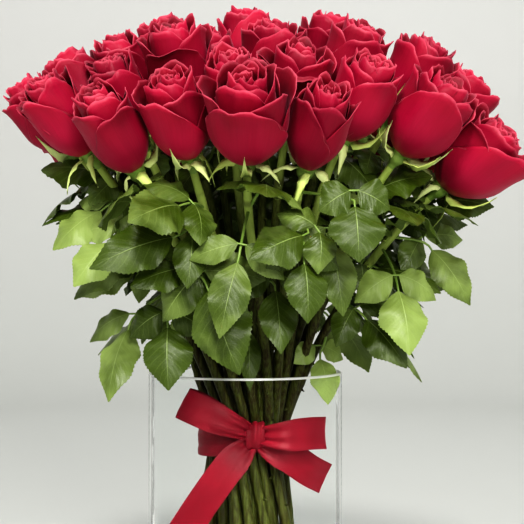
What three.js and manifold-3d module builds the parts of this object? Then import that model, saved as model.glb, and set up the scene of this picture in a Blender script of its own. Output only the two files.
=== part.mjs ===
// Red roses tied in a spiral bunch, standing in a straight glass cylinder vase.
// Millimetres, +Z up. The origin is the centre of the vase's bottom face, and -Y is the front.
import * as THREE from "three";
import { mergeVertices } from "three/addons/utils/BufferGeometryUtils.js";
import Module from "manifold-3d";

const wasm = await Module();
wasm.setup();

// Vase and water
const VASE_RADIUS = 75;
const VASE_HEIGHT = 250;
const GLASS_WALL = 4;
const GLASS_FLOOR = 14;
const FOOT_BEVEL = 2;
const VASE_SIDES = 40;
const WATER_LEVEL = 95;
const SEAT_GAP = 0.3;

// Stems
const STEM_SIDES = 5;
const TIE_HEIGHT = 199;
const TIE_RADIUS = 28.5;
const TIE_SPACING = 7.7;
const TIE_TURN = rad(40);
const FOOT_RADIUS = 60;
const FOOT_TURN = rad(38);
const STEM_RADIUS = { foot: 4.2, tie: 3.9, neck: 2.9 };
const TIE_CORE = { radius: 26, low: 191, high: 202 };
const UPPER_STEPS = { inner: 3, outer: 4, from: 90 };
const UPPER_SPREAD = 0.27;

// Blooms: all of them lean away from one point low in the bunch
const LEAN_FROM = new THREE.Vector3(0, 0, 255);
const BLOOM_SIDES = 10;
const BLOOM_GAP = 0.8;
// How readily a bloom gives way sideways, in depth and upwards: most of it in depth, as the photo fixes the rest
const BLOOM_YIELD = new THREE.Vector3(0.45, 1.55, 0.45);
const BLOOM_BALLS = [0.45, 0.565, 0.68];

// The front of the bunch: where each bloom's middle is, its width, its height and how far it is open
const FRONT_BLOOMS = [
  [7, -150, 426, 56, 67, 0.7],
  [47, -142, 424, 42, 63, 0.2],
  [-41, -140, 430, 46, 62, 0.9],
  [-84, -124, 424, 43, 63, 0.4],
  [-116, -92, 440, 43, 62, 0.5],
  [-145, -58, 441, 42, 58, 0.3],
  [82, -120, 442, 46, 60, 0.4],
  [122, -106, 434, 52, 60, 0.6],
  [163, -66, 414, 62, 60, 1.0],
  [154, -34, 448, 48, 58, 0.5],
  [122, -60, 466, 48, 58, 0.5],
  [-12, -108, 450, 42, 58, 0.4],
  [36, -102, 456, 47, 58, 0.9],
  [82, -76, 474, 48, 60, 0.4],
  [58, -38, 488, 46, 62, 0.5],
  [20, -60, 478, 47, 60, 0.7],
  [-24, -50, 476, 44, 60, 0.4],
  [-48, -84, 466, 47, 60, 0.6],
  [-62, -20, 486, 47, 60, 0.6],
  [-86, -92, 450, 42, 58, 0.5],
  [-86, -52, 470, 46, 58, 0.5],
  [-122, -40, 464, 46, 58, 0.4],
];

// The back of the bunch, which goes on in rings from the left side round to the right
const BACK_RINGS = [
  { count: 8, radius: 152, height: 438, from: 4, to: 148, width: 55 },
  { count: 6, radius: 114, height: 462, from: 14, to: 172, width: 54 },
  { count: 4, radius: 72, height: 482, from: 20, to: 164, width: 51 },
  { count: 2, radius: 26, height: 492, from: -100, to: 80, width: 47 },
];
const BACK_UNEVEN = 4;
const BACK_HEIGHT = 60;

// Sepals under each bloom
const SEPAL_LENGTH = 21;
const CALYX = { width: 8.5, bulb: 6.4, bulbDrop: 4, depth: 9 };

// Leaves: three leaflets on one stalk
const LEAF_LENGTH = 62;
const LEAF_WIDTH = 40;
const BLADE_HALF = 0.8;
const STALK_HALF = 1.1;
const LEAST_STALK = 10;

// Single leaves that show at the front: where the end leaflet starts, where its tip is, and its width
const FRONT_LEAVES = [
  [[74, -150, 373], [76, -160, 332], 36],
  [[44, -142, 352], [5, -160, 334], 32],
  [[-2, -138, 338], [-15, -150, 282], 27],
  [[41, -140, 336], [43, -150, 292], 28],
  [[-26, -120, 320], [-2, -134, 257], 40],
  [[-54, -88, 292], [-52, -104, 244], 34],
  [[-42, -122, 352], [-102, -140, 328], 34],
  [[-36, -108, 330], [-76, -130, 316], 26],
  [[-100, -70, 374], [-136, -84, 342], 32],
  [[-92, -92, 350], [-118, -104, 316], 30],
  [[-84, -54, 290], [-96, -84, 234], 30],
  [[110, -78, 318], [116, -100, 268], 34],
  [[86, -64, 296], [116, -84, 258], 30],
  [[138, -34, 348], [168, -44, 302], 30],
  [[140, -30, 382], [188, -34, 376], 30],
  [[60, -116, 350], [68, -126, 296], 26],
  [[22, -98, 318], [26, -118, 270], 26],
  [[57, -14, 264], [63, -22, 226], 24],
  [[4, -44, 286], [4, -58, 240], 16],
];

// Other leaves, in rows all round: how many, where the end leaflet starts and how far its tip drops
const LEAF_ROWS = [
  { count: 13, radius: 128, height: 376, drop: 14, from: -20, to: 325 },
  { count: 12, radius: 100, height: 338, drop: 30, from: -35, to: 215 },
  { count: 7, radius: 84, height: 300, drop: 40, from: -25, to: 205 },
];

// At the left the photo's leaves stay nearer the stems, by up to this share of the radius
const LEFT_TUCK = 0.24;

// Satin ribbon. Loops and tails are points of [across, depth from the knot, height].
const RIBBON_WIDTH = 24;
const RIBBON_THICKNESS = 0.9;
const BAND_HEIGHT = 21;
const BAND_MIDDLE = 197.5;
const BAND_STEPS = 20;
const KNOT = { x: 8, z: 205, width: 12, tall: 19, deep: 11, sides: 10 };
const UPRIGHT = [0, 0, 1];
const LEFT_LOOP = [
  [8, 3, 205],
  [-14, -9, 216],
  [-36, -8, 226],
  [-46, -1, 230],
  [-36, 6, 226],
  [-14, 0, 215],
  [8, 3, 206],
];
const RIGHT_LOOP = [
  [8, 3, 205],
  [28, -8, 206],
  [48, 0, 207],
  [60, 12, 206],
  [50, 14, 205],
  [30, 3, 205],
  [8, 4, 205],
];
const LEFT_TAIL = [[6, 3, 201], [-12, -3, 182], [-30, -1, 157], [-46, 6, 132]];
const RIGHT_TAIL = [[9, 4, 201], [32, 3, 190], [48, 13, 178], [61, 29, 169]];

const CLEAN_STEP = 0.005;
const GREEN = "#5f7a35";
const PETAL_RED = "#9c1226";

function rad(degrees) {
  return (degrees * Math.PI) / 180;
}

/** A number from 0 to 1 that is always the same for the same seed. */
function draw(seed) {
  const wave = Math.sin(seed * 127.1 + 11.7) * 43758.5453;
  return wave - Math.floor(wave);
}

function vec(x, y, z) {
  return new THREE.Vector3(x, y, z);
}

function mix(a, b, t) {
  return a + (b - a) * t;
}

/** Two directions that stand square on the given one. */
function sideways(axis) {
  const side = Math.abs(axis.z) > 0.999 ? vec(1, 0, 0) : vec(-axis.y, axis.x, 0).normalize();
  return [side, axis.clone().cross(side).normalize()];
}

/** Makes a solid of points and triangles, with its faces pointing out. */
function solid(points, faces) {
  let volume = 0;
  for (const [a, b, c] of faces) {
    volume += points[a].dot(points[b].clone().cross(points[c]));
  }
  const turned = volume > 0 ? faces : faces.map(([a, b, c]) => [a, c, b]);
  const mesh = new wasm.Mesh({
    numProp: 3,
    vertProperties: new Float32Array(points.flatMap((p) => [p.x, p.y, p.z])),
    triVerts: new Uint32Array(turned.flat()),
  });
  return new wasm.Manifold(mesh);
}

/** Adds a band of triangles between two rings of the same count. */
function band(faces, lower, upper, count) {
  for (let i = 0; i < count; i++) {
    const j = (i + 1) % count;
    faces.push([lower + i, lower + j, upper + j], [lower + i, upper + j, upper + i]);
  }
}

function fan(faces, pole, ring, count, up) {
  for (let i = 0; i < count; i++) {
    const j = (i + 1) % count;
    faces.push(up ? [ring + i, ring + j, pole] : [ring + j, ring + i, pole]);
  }
}

/** A closed body through rings of points, with a point at each end. */
function loft(start, rings, end) {
  const count = rings[0].length;
  const points = [start, ...rings.flat(), end];
  const faces = [];
  fan(faces, 0, 1, count, false);
  for (let r = 0; r + 1 < rings.length; r++) {
    band(faces, 1 + r * count, 1 + (r + 1) * count, count);
  }
  fan(faces, points.length - 1, 1 + (rings.length - 1) * count, count, true);
  return solid(points, faces);
}

/** A round solid from its outline of [radius, height] pairs, turned about the upright axis. */
function turnedBody(outline, sides) {
  const geometry = new THREE.LatheGeometry(
    outline.map(([radius, height]) => new THREE.Vector2(radius, height)),
    sides,
  );
  geometry.rotateX(Math.PI / 2);
  geometry.deleteAttribute("normal");
  geometry.deleteAttribute("uv");
  const merged = mergeVertices(geometry, 1e-4);
  const place = merged.attributes.position;
  const points = Array.from({ length: place.count }, (_, i) => vec(0, 0, 0).fromBufferAttribute(place, i));
  const corners = merged.index.array;
  const faces = [];
  for (let i = 0; i < corners.length; i += 3) {
    const [a, b, c] = corners.slice(i, i + 3);
    if (a !== b && b !== c && c !== a) {
      faces.push([a, b, c]);
    }
  }
  return solid(points, faces);
}

/** The largest body of a solid, without loose scraps and with sealed hollows filled. */
function oneBody(whole) {
  return whole.decompose().reduce((a, b) => (b.volume() > a.volume() ? b : a));
}

function boxesMeet(a, b, margin) {
  const p = a.boundingBox();
  const q = b.boundingBox();
  return [0, 1, 2].every((k) => p.min[k] - margin < q.max[k] && q.min[k] - margin < p.max[k]);
}

const bouquet = new THREE.Group();

function addMesh(name, body, colour, roughness, extra = {}) {
  const mesh = body.simplify(CLEAN_STEP).getMesh();
  const geometry = new THREE.BufferGeometry();
  geometry.setAttribute("position", new THREE.BufferAttribute(mesh.vertProperties, 3));
  geometry.setIndex(new THREE.BufferAttribute(mesh.triVerts, 1));
  const material = new THREE.MeshStandardMaterial({ color: colour, roughness, metalness: 0, ...extra });
  const object = new THREE.Mesh(geometry, material);
  object.name = name;
  bouquet.add(object);
}

// Blooms

function allBlooms() {
  const blooms = FRONT_BLOOMS.map(([x, y, z, width, height, open]) => ({
    home: vec(x, y, z),
    width,
    height,
    open,
  }));
  for (const ring of BACK_RINGS) {
    for (let k = 0; k < ring.count; k++) {
      const seed = blooms.length;
      const angle = rad(mix(ring.from, ring.to, k / (ring.count - 1)) + 8 * (draw(seed) - 0.5));
      blooms.push({
        home: vec(ring.radius * Math.cos(angle), ring.radius * Math.sin(angle), ring.height),
        width: ring.width + BACK_UNEVEN * (draw(seed + 50) - 0.5),
        height: BACK_HEIGHT,
        open: mix(0.2, 0.8, draw(seed + 90)),
      });
    }
  }
  for (const bloom of blooms) {
    bloom.at = bloom.home.clone();
  }
  return blooms;
}

function leanOf(bloom) {
  return bloom.at.clone().sub(LEAN_FROM).normalize();
}

/** Blooms press each other apart until they only just touch. */
function pressApart(blooms) {
  for (let round = 0; round < 240; round++) {
    for (const bloom of blooms) {
      if (round < 120) {
        bloom.at.lerp(bloom.home, 0.03);
      }
      bloom.lean = leanOf(bloom);
    }
    for (let i = 0; i < blooms.length; i++) {
      for (let j = i + 1; j < blooms.length; j++) {
        pressPair(blooms[i], blooms[j]);
      }
    }
  }
  for (const bloom of blooms) {
    bloom.lean = leanOf(bloom);
    bloom.base = bloom.at.clone().addScaledVector(bloom.lean, -bloom.height / 2);
  }
}

function pressPair(a, b) {
  const reach = (a.width + b.width) / 2 + BLOOM_GAP;
  if (a.at.distanceTo(b.at) > reach + 20) {
    return;
  }
  let nearest = Infinity;
  let push = null;
  for (const s of BLOOM_BALLS) {
    const p = a.at.clone().addScaledVector(a.lean, (s - 0.5) * a.height);
    for (const t of BLOOM_BALLS) {
      const q = b.at.clone().addScaledVector(b.lean, (t - 0.5) * b.height);
      const gap = p.distanceTo(q);
      if (gap < nearest) {
        nearest = gap;
        push = p.clone().sub(q).divideScalar(gap).multiply(BLOOM_YIELD);
      }
    }
  }
  if (nearest < reach) {
    a.at.addScaledVector(push, (reach - nearest) * 0.5);
    b.at.addScaledVector(push, (nearest - reach) * 0.5);
  }
}

/** One ring of petal edges: petals stand at every second point, and the gaps between them lie lower. */
function petalRing(bloom, half, peak, gap, shift) {
  const [east, north] = sideways(bloom.lean);
  const ring = [];
  for (let k = 0; k < BLOOM_SIDES; k++) {
    const [radius, height] = (k + shift) % 2 === 0 ? peak : gap;
    const angle = bloom.spin + (2 * Math.PI * k) / BLOOM_SIDES;
    const uneven = 1 - 0.05 * draw(bloom.seed * 31 + k + half * 7);
    ring.push(
      bloom.base
        .clone()
        .addScaledVector(bloom.lean, height * bloom.height)
        .addScaledVector(east, (Math.cos(angle) * radius * uneven * bloom.width) / 2)
        .addScaledVector(north, (Math.sin(angle) * radius * uneven * bloom.width) / 2),
    );
  }
  return ring;
}

/** A bloom: outer, middle and inner petals one inside the other, round a rolled bud. */
function bloomBody(bloom) {
  const open = bloom.open;
  const rings = [
    petalRing(bloom, 0, [0.33, 0], [0.31, 0], 0),
    petalRing(bloom, 1, [0.8, 0.18], [0.74, 0.17], 0),
    petalRing(bloom, 2, [0.99, 0.5], [0.95, 0.47], 0),
    petalRing(bloom, 3, [mix(0.82, 0.91, open), 0.88], [mix(0.8, 0.88, open), 0.82], 0),
    petalRing(bloom, 4, [0.68, 0.77], [0.64, 0.74], 0),
    petalRing(bloom, 5, [0.52, 0.9], [0.49, 0.96], 0),
    petalRing(bloom, 6, [0.27, 0.86], [0.25, 0.83], 0),
  ];
  const middle = bloom.base.clone().addScaledVector(bloom.lean, 0.99 * bloom.height);
  return loft(bloom.base, rings, middle);
}

/** The plain outside of a bloom with a little room round it, which leaves and sepals are cut clear of. */
function bloomRoom(bloom) {
  const outline = [[0.36, -0.004], [0.84, 0.16], [1.04, 0.5], [0.98, 0.94], [0.4, 1.02]];
  const base = bloom.base.clone().addScaledVector(bloom.lean, -0.004 * bloom.height);
  const top = bloom.base.clone().addScaledVector(bloom.lean, 1.03 * bloom.height);
  const steady = { ...bloom, seed: 0 };
  const rings = outline.map(([radius, height]) => {
    const ring = petalRing(steady, 0, [radius, height], [radius, height], 0);
    const axisPoint = bloom.base.clone().addScaledVector(bloom.lean, height * bloom.height);
    return ring.map((p) => axisPoint.clone().add(p.sub(axisPoint).setLength((radius * bloom.width) / 2)));
  });
  return loft(base, rings, top);
}

// Stems

/** Places the stems in the tie: bloom by bloom in a spiral, then pressed apart inside the round bundle. */
function tieSlots(blooms) {
  const order = blooms.map((_, i) => i);
  const fromAxis = (index) => Math.hypot(blooms[index].at.x, blooms[index].at.y);
  order.sort((a, b) => fromAxis(a) - fromAxis(b));
  const slots = [];
  order.forEach((index, rank) => {
    const { x, y } = blooms[index].at;
    const angle = Math.atan2(y, x) + TIE_TURN;
    const radius = TIE_RADIUS * Math.sqrt((rank + 0.3) / blooms.length);
    slots[index] = new THREE.Vector2(radius * Math.cos(angle), radius * Math.sin(angle));
  });
  for (let round = 0; round < 400; round++) {
    for (let i = 0; i < slots.length; i++) {
      for (let j = i + 1; j < slots.length; j++) {
        const apart = slots[i].clone().sub(slots[j]);
        const short = TIE_SPACING - apart.length();
        if (short > 0) {
          apart.setLength(short / 2);
          slots[i].add(apart);
          slots[j].sub(apart);
        }
      }
      slots[i].clampLength(0, TIE_RADIUS);
    }
  }
  return slots;
}

/** The middle line of a stem above the tie, and its straight part below. */
function stemLine(bloom, slot) {
  const tie = vec(slot.x, slot.y, TIE_HEIGHT);
  const spread = FOOT_RADIUS / TIE_RADIUS;
  const foot2 = slot.clone().rotateAround(new THREE.Vector2(0, 0), FOOT_TURN).multiplyScalar(spread);
  const foot = vec(foot2.x, foot2.y, GLASS_FLOOR + SEAT_GAP);
  const neck = bloom.base.clone().addScaledVector(bloom.lean, -CALYX.depth - 4);
  const radial = UPPER_SPREAD / TIE_RADIUS;
  const rise = vec(slot.x * radial, slot.y * radial, 1);
  const twist = vec(slot.y, -slot.x, 0).multiplyScalar(0.006);
  const length = neck.distanceTo(tie);
  const leave = tie.clone().addScaledVector(rise.add(twist).normalize(), length * 0.34);
  const arrive = neck.clone().addScaledVector(bloom.lean, -length * 0.3);
  return { foot, tie, neck, upper: new THREE.CubicBezierCurve3(tie, leave, arrive, neck) };
}

function ringAt(centre, axis, radius, spin, sides) {
  const [east, north] = sideways(axis);
  return Array.from({ length: sides }, (_, k) => {
    const angle = spin + (2 * Math.PI * k) / sides;
    return centre
      .clone()
      .addScaledVector(east, Math.cos(angle) * radius)
      .addScaledVector(north, Math.sin(angle) * radius);
  });
}

function stemStations(bloom) {
  const { foot, tie, upper } = bloom.line;
  const stations = [{ at: foot, axis: vec(0, 0, 1), radius: STEM_RADIUS.foot }];
  stations.push({ at: tie, axis: vec(0, 0, 1), radius: STEM_RADIUS.tie });
  const outer = Math.hypot(bloom.at.x, bloom.at.y) > UPPER_STEPS.from;
  const steps = outer ? UPPER_STEPS.outer : UPPER_STEPS.inner;
  for (let k = 1; k <= steps; k++) {
    const t = k / steps;
    stations.push({
      at: upper.getPoint(t),
      axis: upper.getTangent(t),
      radius: mix(STEM_RADIUS.tie, STEM_RADIUS.neck, t),
    });
  }
  return stations;
}

/** A stem with its calyx: a round foot below, a green bulb above and five sepals that hang off it. */
function stemBody(bloom) {
  const stations = stemStations(bloom);
  const points = [stations[0].at.clone()];
  const faces = [];
  for (const { at, axis, radius } of stations) {
    points.push(...ringAt(at, axis, radius, 0, STEM_SIDES));
  }
  fan(faces, 0, 1, STEM_SIDES, false);
  for (let r = 0; r + 1 < stations.length; r++) {
    band(faces, 1 + r * STEM_SIDES, 1 + (r + 1) * STEM_SIDES, STEM_SIDES);
  }
  addCalyx(points, faces, bloom);
  return solid(points, faces);
}

function addCalyx(points, faces, bloom) {
  const stemEnd = points.length - STEM_SIDES;
  const bulbAt = bloom.base.clone().addScaledVector(bloom.lean, -CALYX.bulbDrop);
  const topAt = bloom.base.clone().addScaledVector(bloom.lean, -SEAT_GAP);
  const bulb = points.length;
  points.push(...ringAt(bulbAt, bloom.lean, CALYX.bulb, 0, STEM_SIDES));
  const top = points.length;
  points.push(...ringAt(topAt, bloom.lean, CALYX.width, 0, STEM_SIDES));
  const tips = points.length;
  for (let k = 0; k < STEM_SIDES; k++) {
    points.push(sepalTip(bloom, k, topAt));
  }
  const centre = points.length;
  points.push(topAt);
  band(faces, stemEnd, bulb, STEM_SIDES);
  for (let k = 0; k < STEM_SIDES; k++) {
    const next = (k + 1) % STEM_SIDES;
    faces.push([top + k, tips + k, centre], [tips + k, top + next, centre]);
    faces.push([bulb + k, tips + k, top + k], [bulb + k, bulb + next, tips + k]);
    faces.push([bulb + next, top + next, tips + k]);
  }
}

/** Sepals hang outwards and down, each by its own amount. */
function sepalTip(bloom, k, topAt) {
  const [east, north] = sideways(bloom.lean);
  const angle = (2 * Math.PI * (k + 0.5)) / STEM_SIDES;
  const hang = mix(0.45, 1.1, draw(bloom.seed * 17 + k));
  const outward = east.multiplyScalar(Math.cos(angle)).addScaledVector(north, Math.sin(angle));
  return topAt
    .clone()
    .addScaledVector(outward, SEPAL_LENGTH * Math.cos(hang))
    .addScaledVector(bloom.lean, -SEPAL_LENGTH * Math.sin(hang));
}

// Leaves

/** The point on any stem, behind where the leaf forks, that is nearest to where its stalk wants to start. */
function nearestOnStems(blooms, wanted, start, ahead) {
  let best = null;
  for (const bloom of blooms) {
    for (let k = 1; k < 20; k++) {
      const at = bloom.line.upper.getPoint(k / 20);
      const gap = at.distanceTo(wanted);
      const behind = start.clone().sub(at).dot(ahead) > LEAST_STALK;
      if (behind && (!best || gap < best.gap)) {
        best = { at, gap };
      }
    }
  }
  return best.at;
}

/** Fills the strip between a leaf's rib and its edge. Both run from one shared end to the other. */
function stitch(faces, rib, edge) {
  let i = 0;
  let j = 0;
  while (i + 1 < rib.length || j + 1 < edge.length) {
    const ribNext = i + 1 < rib.length ? rib[i + 1].along : Infinity;
    const edgeNext = j + 1 < edge.length ? edge[j + 1].along : Infinity;
    const stepRib = ribNext <= edgeNext;
    const third = stepRib ? rib[i + 1].id : edge[j + 1].id;
    if (rib[i].id !== edge[j].id && third !== rib[i].id && third !== edge[j].id) {
      faces.push([rib[i].id, edge[j].id, third]);
    }
    i += stepRib ? 1 : 0;
    j += stepRib ? 0 : 1;
  }
}

/**
 * A leaf of three leaflets in one thin body, thickest along its ribs and sharp at its edges. Root is in the
 * stem, start is where the stalk forks, and tip is the end leaflet's point.
 */
function leafBody(root, start, tip, width, seed) {
  const length = start.distanceTo(tip);
  const ahead = tip.clone().sub(start).normalize();
  const out = vec(start.x, start.y, 0).normalize().addScaledVector(vec(0, 0, 1), 0.75);
  out.addScaledVector(ahead, -out.dot(ahead)).normalize();
  out.applyAxisAngle(ahead, mix(-0.5, 0.5, draw(seed)));
  const side = ahead.clone().cross(out);
  const fold = mix(0.1, 0.35, draw(seed + 3));
  const points = [];
  const place = (along, across) => {
    const arch = Math.sin(Math.PI * Math.max(along, 0)) * 0.09 * length - Math.abs(across) * fold;
    return start
      .clone()
      .addScaledVector(ahead, along * length)
      .addScaledVector(side, across)
      .addScaledVector(out, arch);
  };
  const edgePoint = (along, at) => {
    points.push({ upper: at, lower: at });
    return { id: points.length - 1, along };
  };
  const ribPoint = (along, at, half) => {
    const [upper, lower] = [half, -half].map((lift) => at.clone().addScaledVector(out, lift));
    points.push({ upper, lower });
    return { id: points.length - 1, along };
  };
  const stalk = root.clone().lerp(start, 0.55).addScaledVector(out, 2);
  const rootPoint = edgePoint(-2, root);
  const tipPoint = edgePoint(9, place(1, 0));
  const ribs = [ribPoint(-1, stalk, STALK_HALF), ribPoint(0, place(0, 0), BLADE_HALF)];
  const mainRib = [0.38, 0.72].map((t) => ribPoint(2 + t * 6, place(t, 0), BLADE_HALF));
  const faces = [];
  for (const hand of [-1, 1]) {
    const lobe = lateral(hand, length, width, place, edgePoint, ribPoint);
    const stalkEdge = edgePoint(-0.9, stalk.clone().addScaledVector(side, hand * STALK_HALF));
    const neck = edgePoint(1.2, place(0.14, hand * 1.2));
    const teeth = [[0.3, 0.84], [0.46, 0.9], [0.56, 1], [0.8, 0.66]].map(([t, w]) =>
      edgePoint(2 + t * 6, place(t, (hand * w * width) / 2)),
    );
    const at = (point, along) => ({ ...point, along });
    const below = [];
    const lowerRib = [rootPoint, ribs[0], at(ribs[1], -0.5), at(lobe.rib, 0.4), at(lobe.tip, 1)];
    stitch(below, lowerRib, [rootPoint, stalkEdge, at(lobe.lower, 0.5), at(lobe.tip, 1)]);
    const above = [];
    const upperRib = [at(lobe.tip, -1), at(lobe.rib, 0.3), at(ribs[1], 1), ...mainRib, tipPoint];
    stitch(above, upperRib, [at(lobe.tip, -1), at(lobe.upper, 0.4), neck, ...teeth, tipPoint]);
    for (const [a, b, c] of [...below, ...above]) {
      faces.push(hand > 0 ? [a, b, c] : [a, c, b]);
    }
  }
  return twoSided(points, faces);
}

/** One side leaflet, which points outwards and a little ahead. */
function lateral(hand, length, width, place, edgePoint, ribPoint) {
  const reach = 0.62 * length;
  const half = 0.34 * width;
  const spot = (out, up) => place((out * 0.42 + up * 0.9) / length, hand * (out * 0.9 - up * 0.42));
  return {
    tip: edgePoint(0, spot(reach, 0)),
    rib: ribPoint(0, spot(reach * 0.5, 0), BLADE_HALF),
    lower: edgePoint(0, spot(reach * 0.5, -half)),
    upper: edgePoint(0, spot(reach * 0.52, half)),
  };
}

/** Closes a blade: its two faces are split alike and meet along its edge. */
function twoSided(points, faces) {
  const corners = [];
  const ids = points.map(({ upper, lower }) => {
    corners.push(upper);
    if (upper === lower) {
      return [corners.length - 1, corners.length - 1];
    }
    corners.push(lower);
    return [corners.length - 2, corners.length - 1];
  });
  const both = [];
  for (const [a, b, c] of faces) {
    both.push([ids[a][0], ids[b][0], ids[c][0]], [ids[a][1], ids[c][1], ids[b][1]]);
  }
  return solid(corners, both);
}

/** One leaf on the stem nearest to it, cut clear of the blooms. */
function grownLeaf(blooms, rooms, start, tip, width, seed) {
  const ahead = tip.clone().sub(start).normalize();
  const wanted = start.clone().addScaledVector(ahead, -22);
  wanted.z -= 14;
  const root = nearestOnStems(blooms, wanted, start, ahead);
  return clearOf(leafBody(root, start, tip, width, seed), rooms, -1);
}

/** Where a leaf of a row starts and ends. Each try moves it a little along its row and up or down. */
function rowLeaf(row, k, seed, attempt) {
  const shift = [0, 6, -6, 11, -11, 16, -16][attempt];
  const angle = rad(mix(row.from, row.to, k / row.count) + 12 * draw(seed) + shift);
  const outward = vec(Math.cos(angle), Math.sin(angle), 0);
  const tuck = 1 - LEFT_TUCK * Math.max(0, -outward.x) ** 2;
  const start = outward.clone().multiplyScalar((row.radius + 10 * draw(seed + 200)) * tuck);
  start.z = row.height + 16 * (draw(seed + 300) - 0.5) - attempt * 2;
  const swing = rad(50 * (draw(seed + 400) - 0.5));
  const tip = start.clone().addScaledVector(outward.applyAxisAngle(vec(0, 0, 1), swing), LEAF_LENGTH * 0.85);
  tip.z -= row.drop * mix(0.6, 1.4, draw(seed + 500));
  return [start, tip, LEAF_WIDTH * mix(0.75, 1, draw(seed + 600))];
}

/** All the leaves. One of a row that would cross another is moved, or left out where there is no room. */
function allLeaves(blooms, rooms) {
  const leaves = FRONT_LEAVES.map(([start, tip, width], seed) =>
    grownLeaf(blooms, rooms, vec(...start), vec(...tip), width, seed),
  );
  let seed = leaves.length;
  for (const row of LEAF_ROWS) {
    for (let k = 0; k < row.count; k++) {
      seed++;
      for (let attempt = 0; attempt < 7; attempt++) {
        const leaf = grownLeaf(blooms, rooms, ...rowLeaf(row, k, seed, attempt), seed);
        if (leaves.every((other) => !boxesMeet(leaf, other, 0) || leaf.intersect(other).isEmpty())) {
          leaves.push(leaf);
          break;
        }
      }
    }
  }
  return leaves;
}

/** Cuts a body clear of the blooms that reach into its box, apart from the one that it carries. */
function clearOf(body, rooms, own) {
  let clear = body;
  rooms.forEach((room, index) => {
    if (index !== own && boxesMeet(clear, room, 1)) {
      clear = clear.subtract(room);
    }
  });
  return clear === body ? body : oneBody(clear);
}

// Ribbon

/** A flat band of ribbon along a line, with its width laid along the given direction. */
function ribbonStrip(line, across, width, closed = false) {
  const rings = line.map((at, k) => {
    const before = line[closed ? (k + line.length - 1) % line.length : Math.max(k - 1, 0)];
    const after = line[closed ? (k + 1) % line.length : Math.min(k + 1, line.length - 1)];
    const ahead = after.clone().sub(before).normalize();
    const side = across.clone().addScaledVector(ahead, -across.dot(ahead)).normalize();
    const face = ahead.clone().cross(side).multiplyScalar(RIBBON_THICKNESS / 2);
    side.multiplyScalar(width / 2);
    return [
      at.clone().add(side).add(face),
      at.clone().sub(side).add(face),
      at.clone().sub(side).sub(face),
      at.clone().add(side).sub(face),
    ];
  });
  const points = rings.flat();
  const faces = [];
  for (let r = 0; r + (closed ? 0 : 1) < rings.length; r++) {
    band(faces, r * 4, ((r + 1) % rings.length) * 4, 4);
  }
  if (!closed) {
    const last = (rings.length - 1) * 4;
    faces.push([0, 2, 1], [0, 3, 2], [last, last + 1, last + 2], [last, last + 2, last + 3]);
  }
  return solid(points, faces);
}

/** How far the bundle reaches from its axis at a height near the tie. */
function bundleReach(blooms, height) {
  const reaches = blooms.map((bloom) => {
    const centres = stemStations(bloom).map(({ at }) => at);
    const above = centres.findIndex((at) => at.z >= height);
    const lower = centres[above - 1];
    const upper = centres[above];
    const at = lower.clone().lerp(upper, (height - lower.z) / (upper.z - lower.z));
    return Math.hypot(at.x, at.y) + STEM_RADIUS.tie;
  });
  return Math.max(...reaches);
}

function ribbonBody(blooms) {
  const halfway = BAND_HEIGHT / 2;
  const reach = Math.max(...[-1, 0, 1].map((s) => bundleReach(blooms, BAND_MIDDLE + s * halfway)));
  const bandRadius = (reach + SEAT_GAP) / Math.cos(Math.PI / BAND_STEPS) + RIBBON_THICKNESS / 2;
  const front = -bandRadius - KNOT.deep / 2;
  const circle = Array.from({ length: BAND_STEPS }, (_, k) => {
    const angle = (2 * Math.PI * k) / BAND_STEPS;
    return vec(bandRadius * Math.cos(angle), bandRadius * Math.sin(angle), BAND_MIDDLE);
  });
  const pieces = [ribbonStrip(circle, vec(...UPRIGHT), BAND_HEIGHT, true)];
  const knotRings = [-1, 1].map((s) =>
    Array.from({ length: KNOT.sides }, (_, k) => {
      const angle = (2 * Math.PI * k) / KNOT.sides;
      const depth = front + (KNOT.deep / 2 + 0.6) * Math.cos(angle);
      return vec(KNOT.x + (s * KNOT.width) / 2, depth, KNOT.z + (KNOT.tall / 2) * Math.sin(angle));
    }),
  );
  const knotEnds = [-1, 1].map((s) => vec(KNOT.x + (s * KNOT.width) / 2, front, KNOT.z));
  pieces.push(loft(knotEnds[0], knotRings, knotEnds[1]));
  const runs = [
    { line: LEFT_LOOP, across: vec(0.46, 0, 0.89), steps: 8 },
    { line: RIGHT_LOOP, across: vec(0, 0, 1), steps: 8 },
    { line: LEFT_TAIL, across: vec(0.81, 0, -0.58), steps: 3 },
    { line: RIGHT_TAIL, across: vec(0.3, 0, 0.95), steps: 3 },
  ];
  for (const { line, across, steps } of runs) {
    const curve = new THREE.CatmullRomCurve3(line.map(([x, depth, z]) => vec(x, front + depth - 3, z)));
    pieces.push(ribbonStrip(curve.getPoints(steps), across, RIBBON_WIDTH));
  }
  return oneBody(wasm.Manifold.union(pieces));
}

// Vase and water

function vaseBody() {
  const inside = VASE_RADIUS - GLASS_WALL;
  const outline = [
    [0, 0],
    [VASE_RADIUS - FOOT_BEVEL, 0],
    [VASE_RADIUS, FOOT_BEVEL],
    [VASE_RADIUS, VASE_HEIGHT],
    [inside, VASE_HEIGHT],
    [inside, GLASS_FLOOR],
    [0, GLASS_FLOOR],
  ];
  return turnedBody(outline, VASE_SIDES);
}

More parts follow.
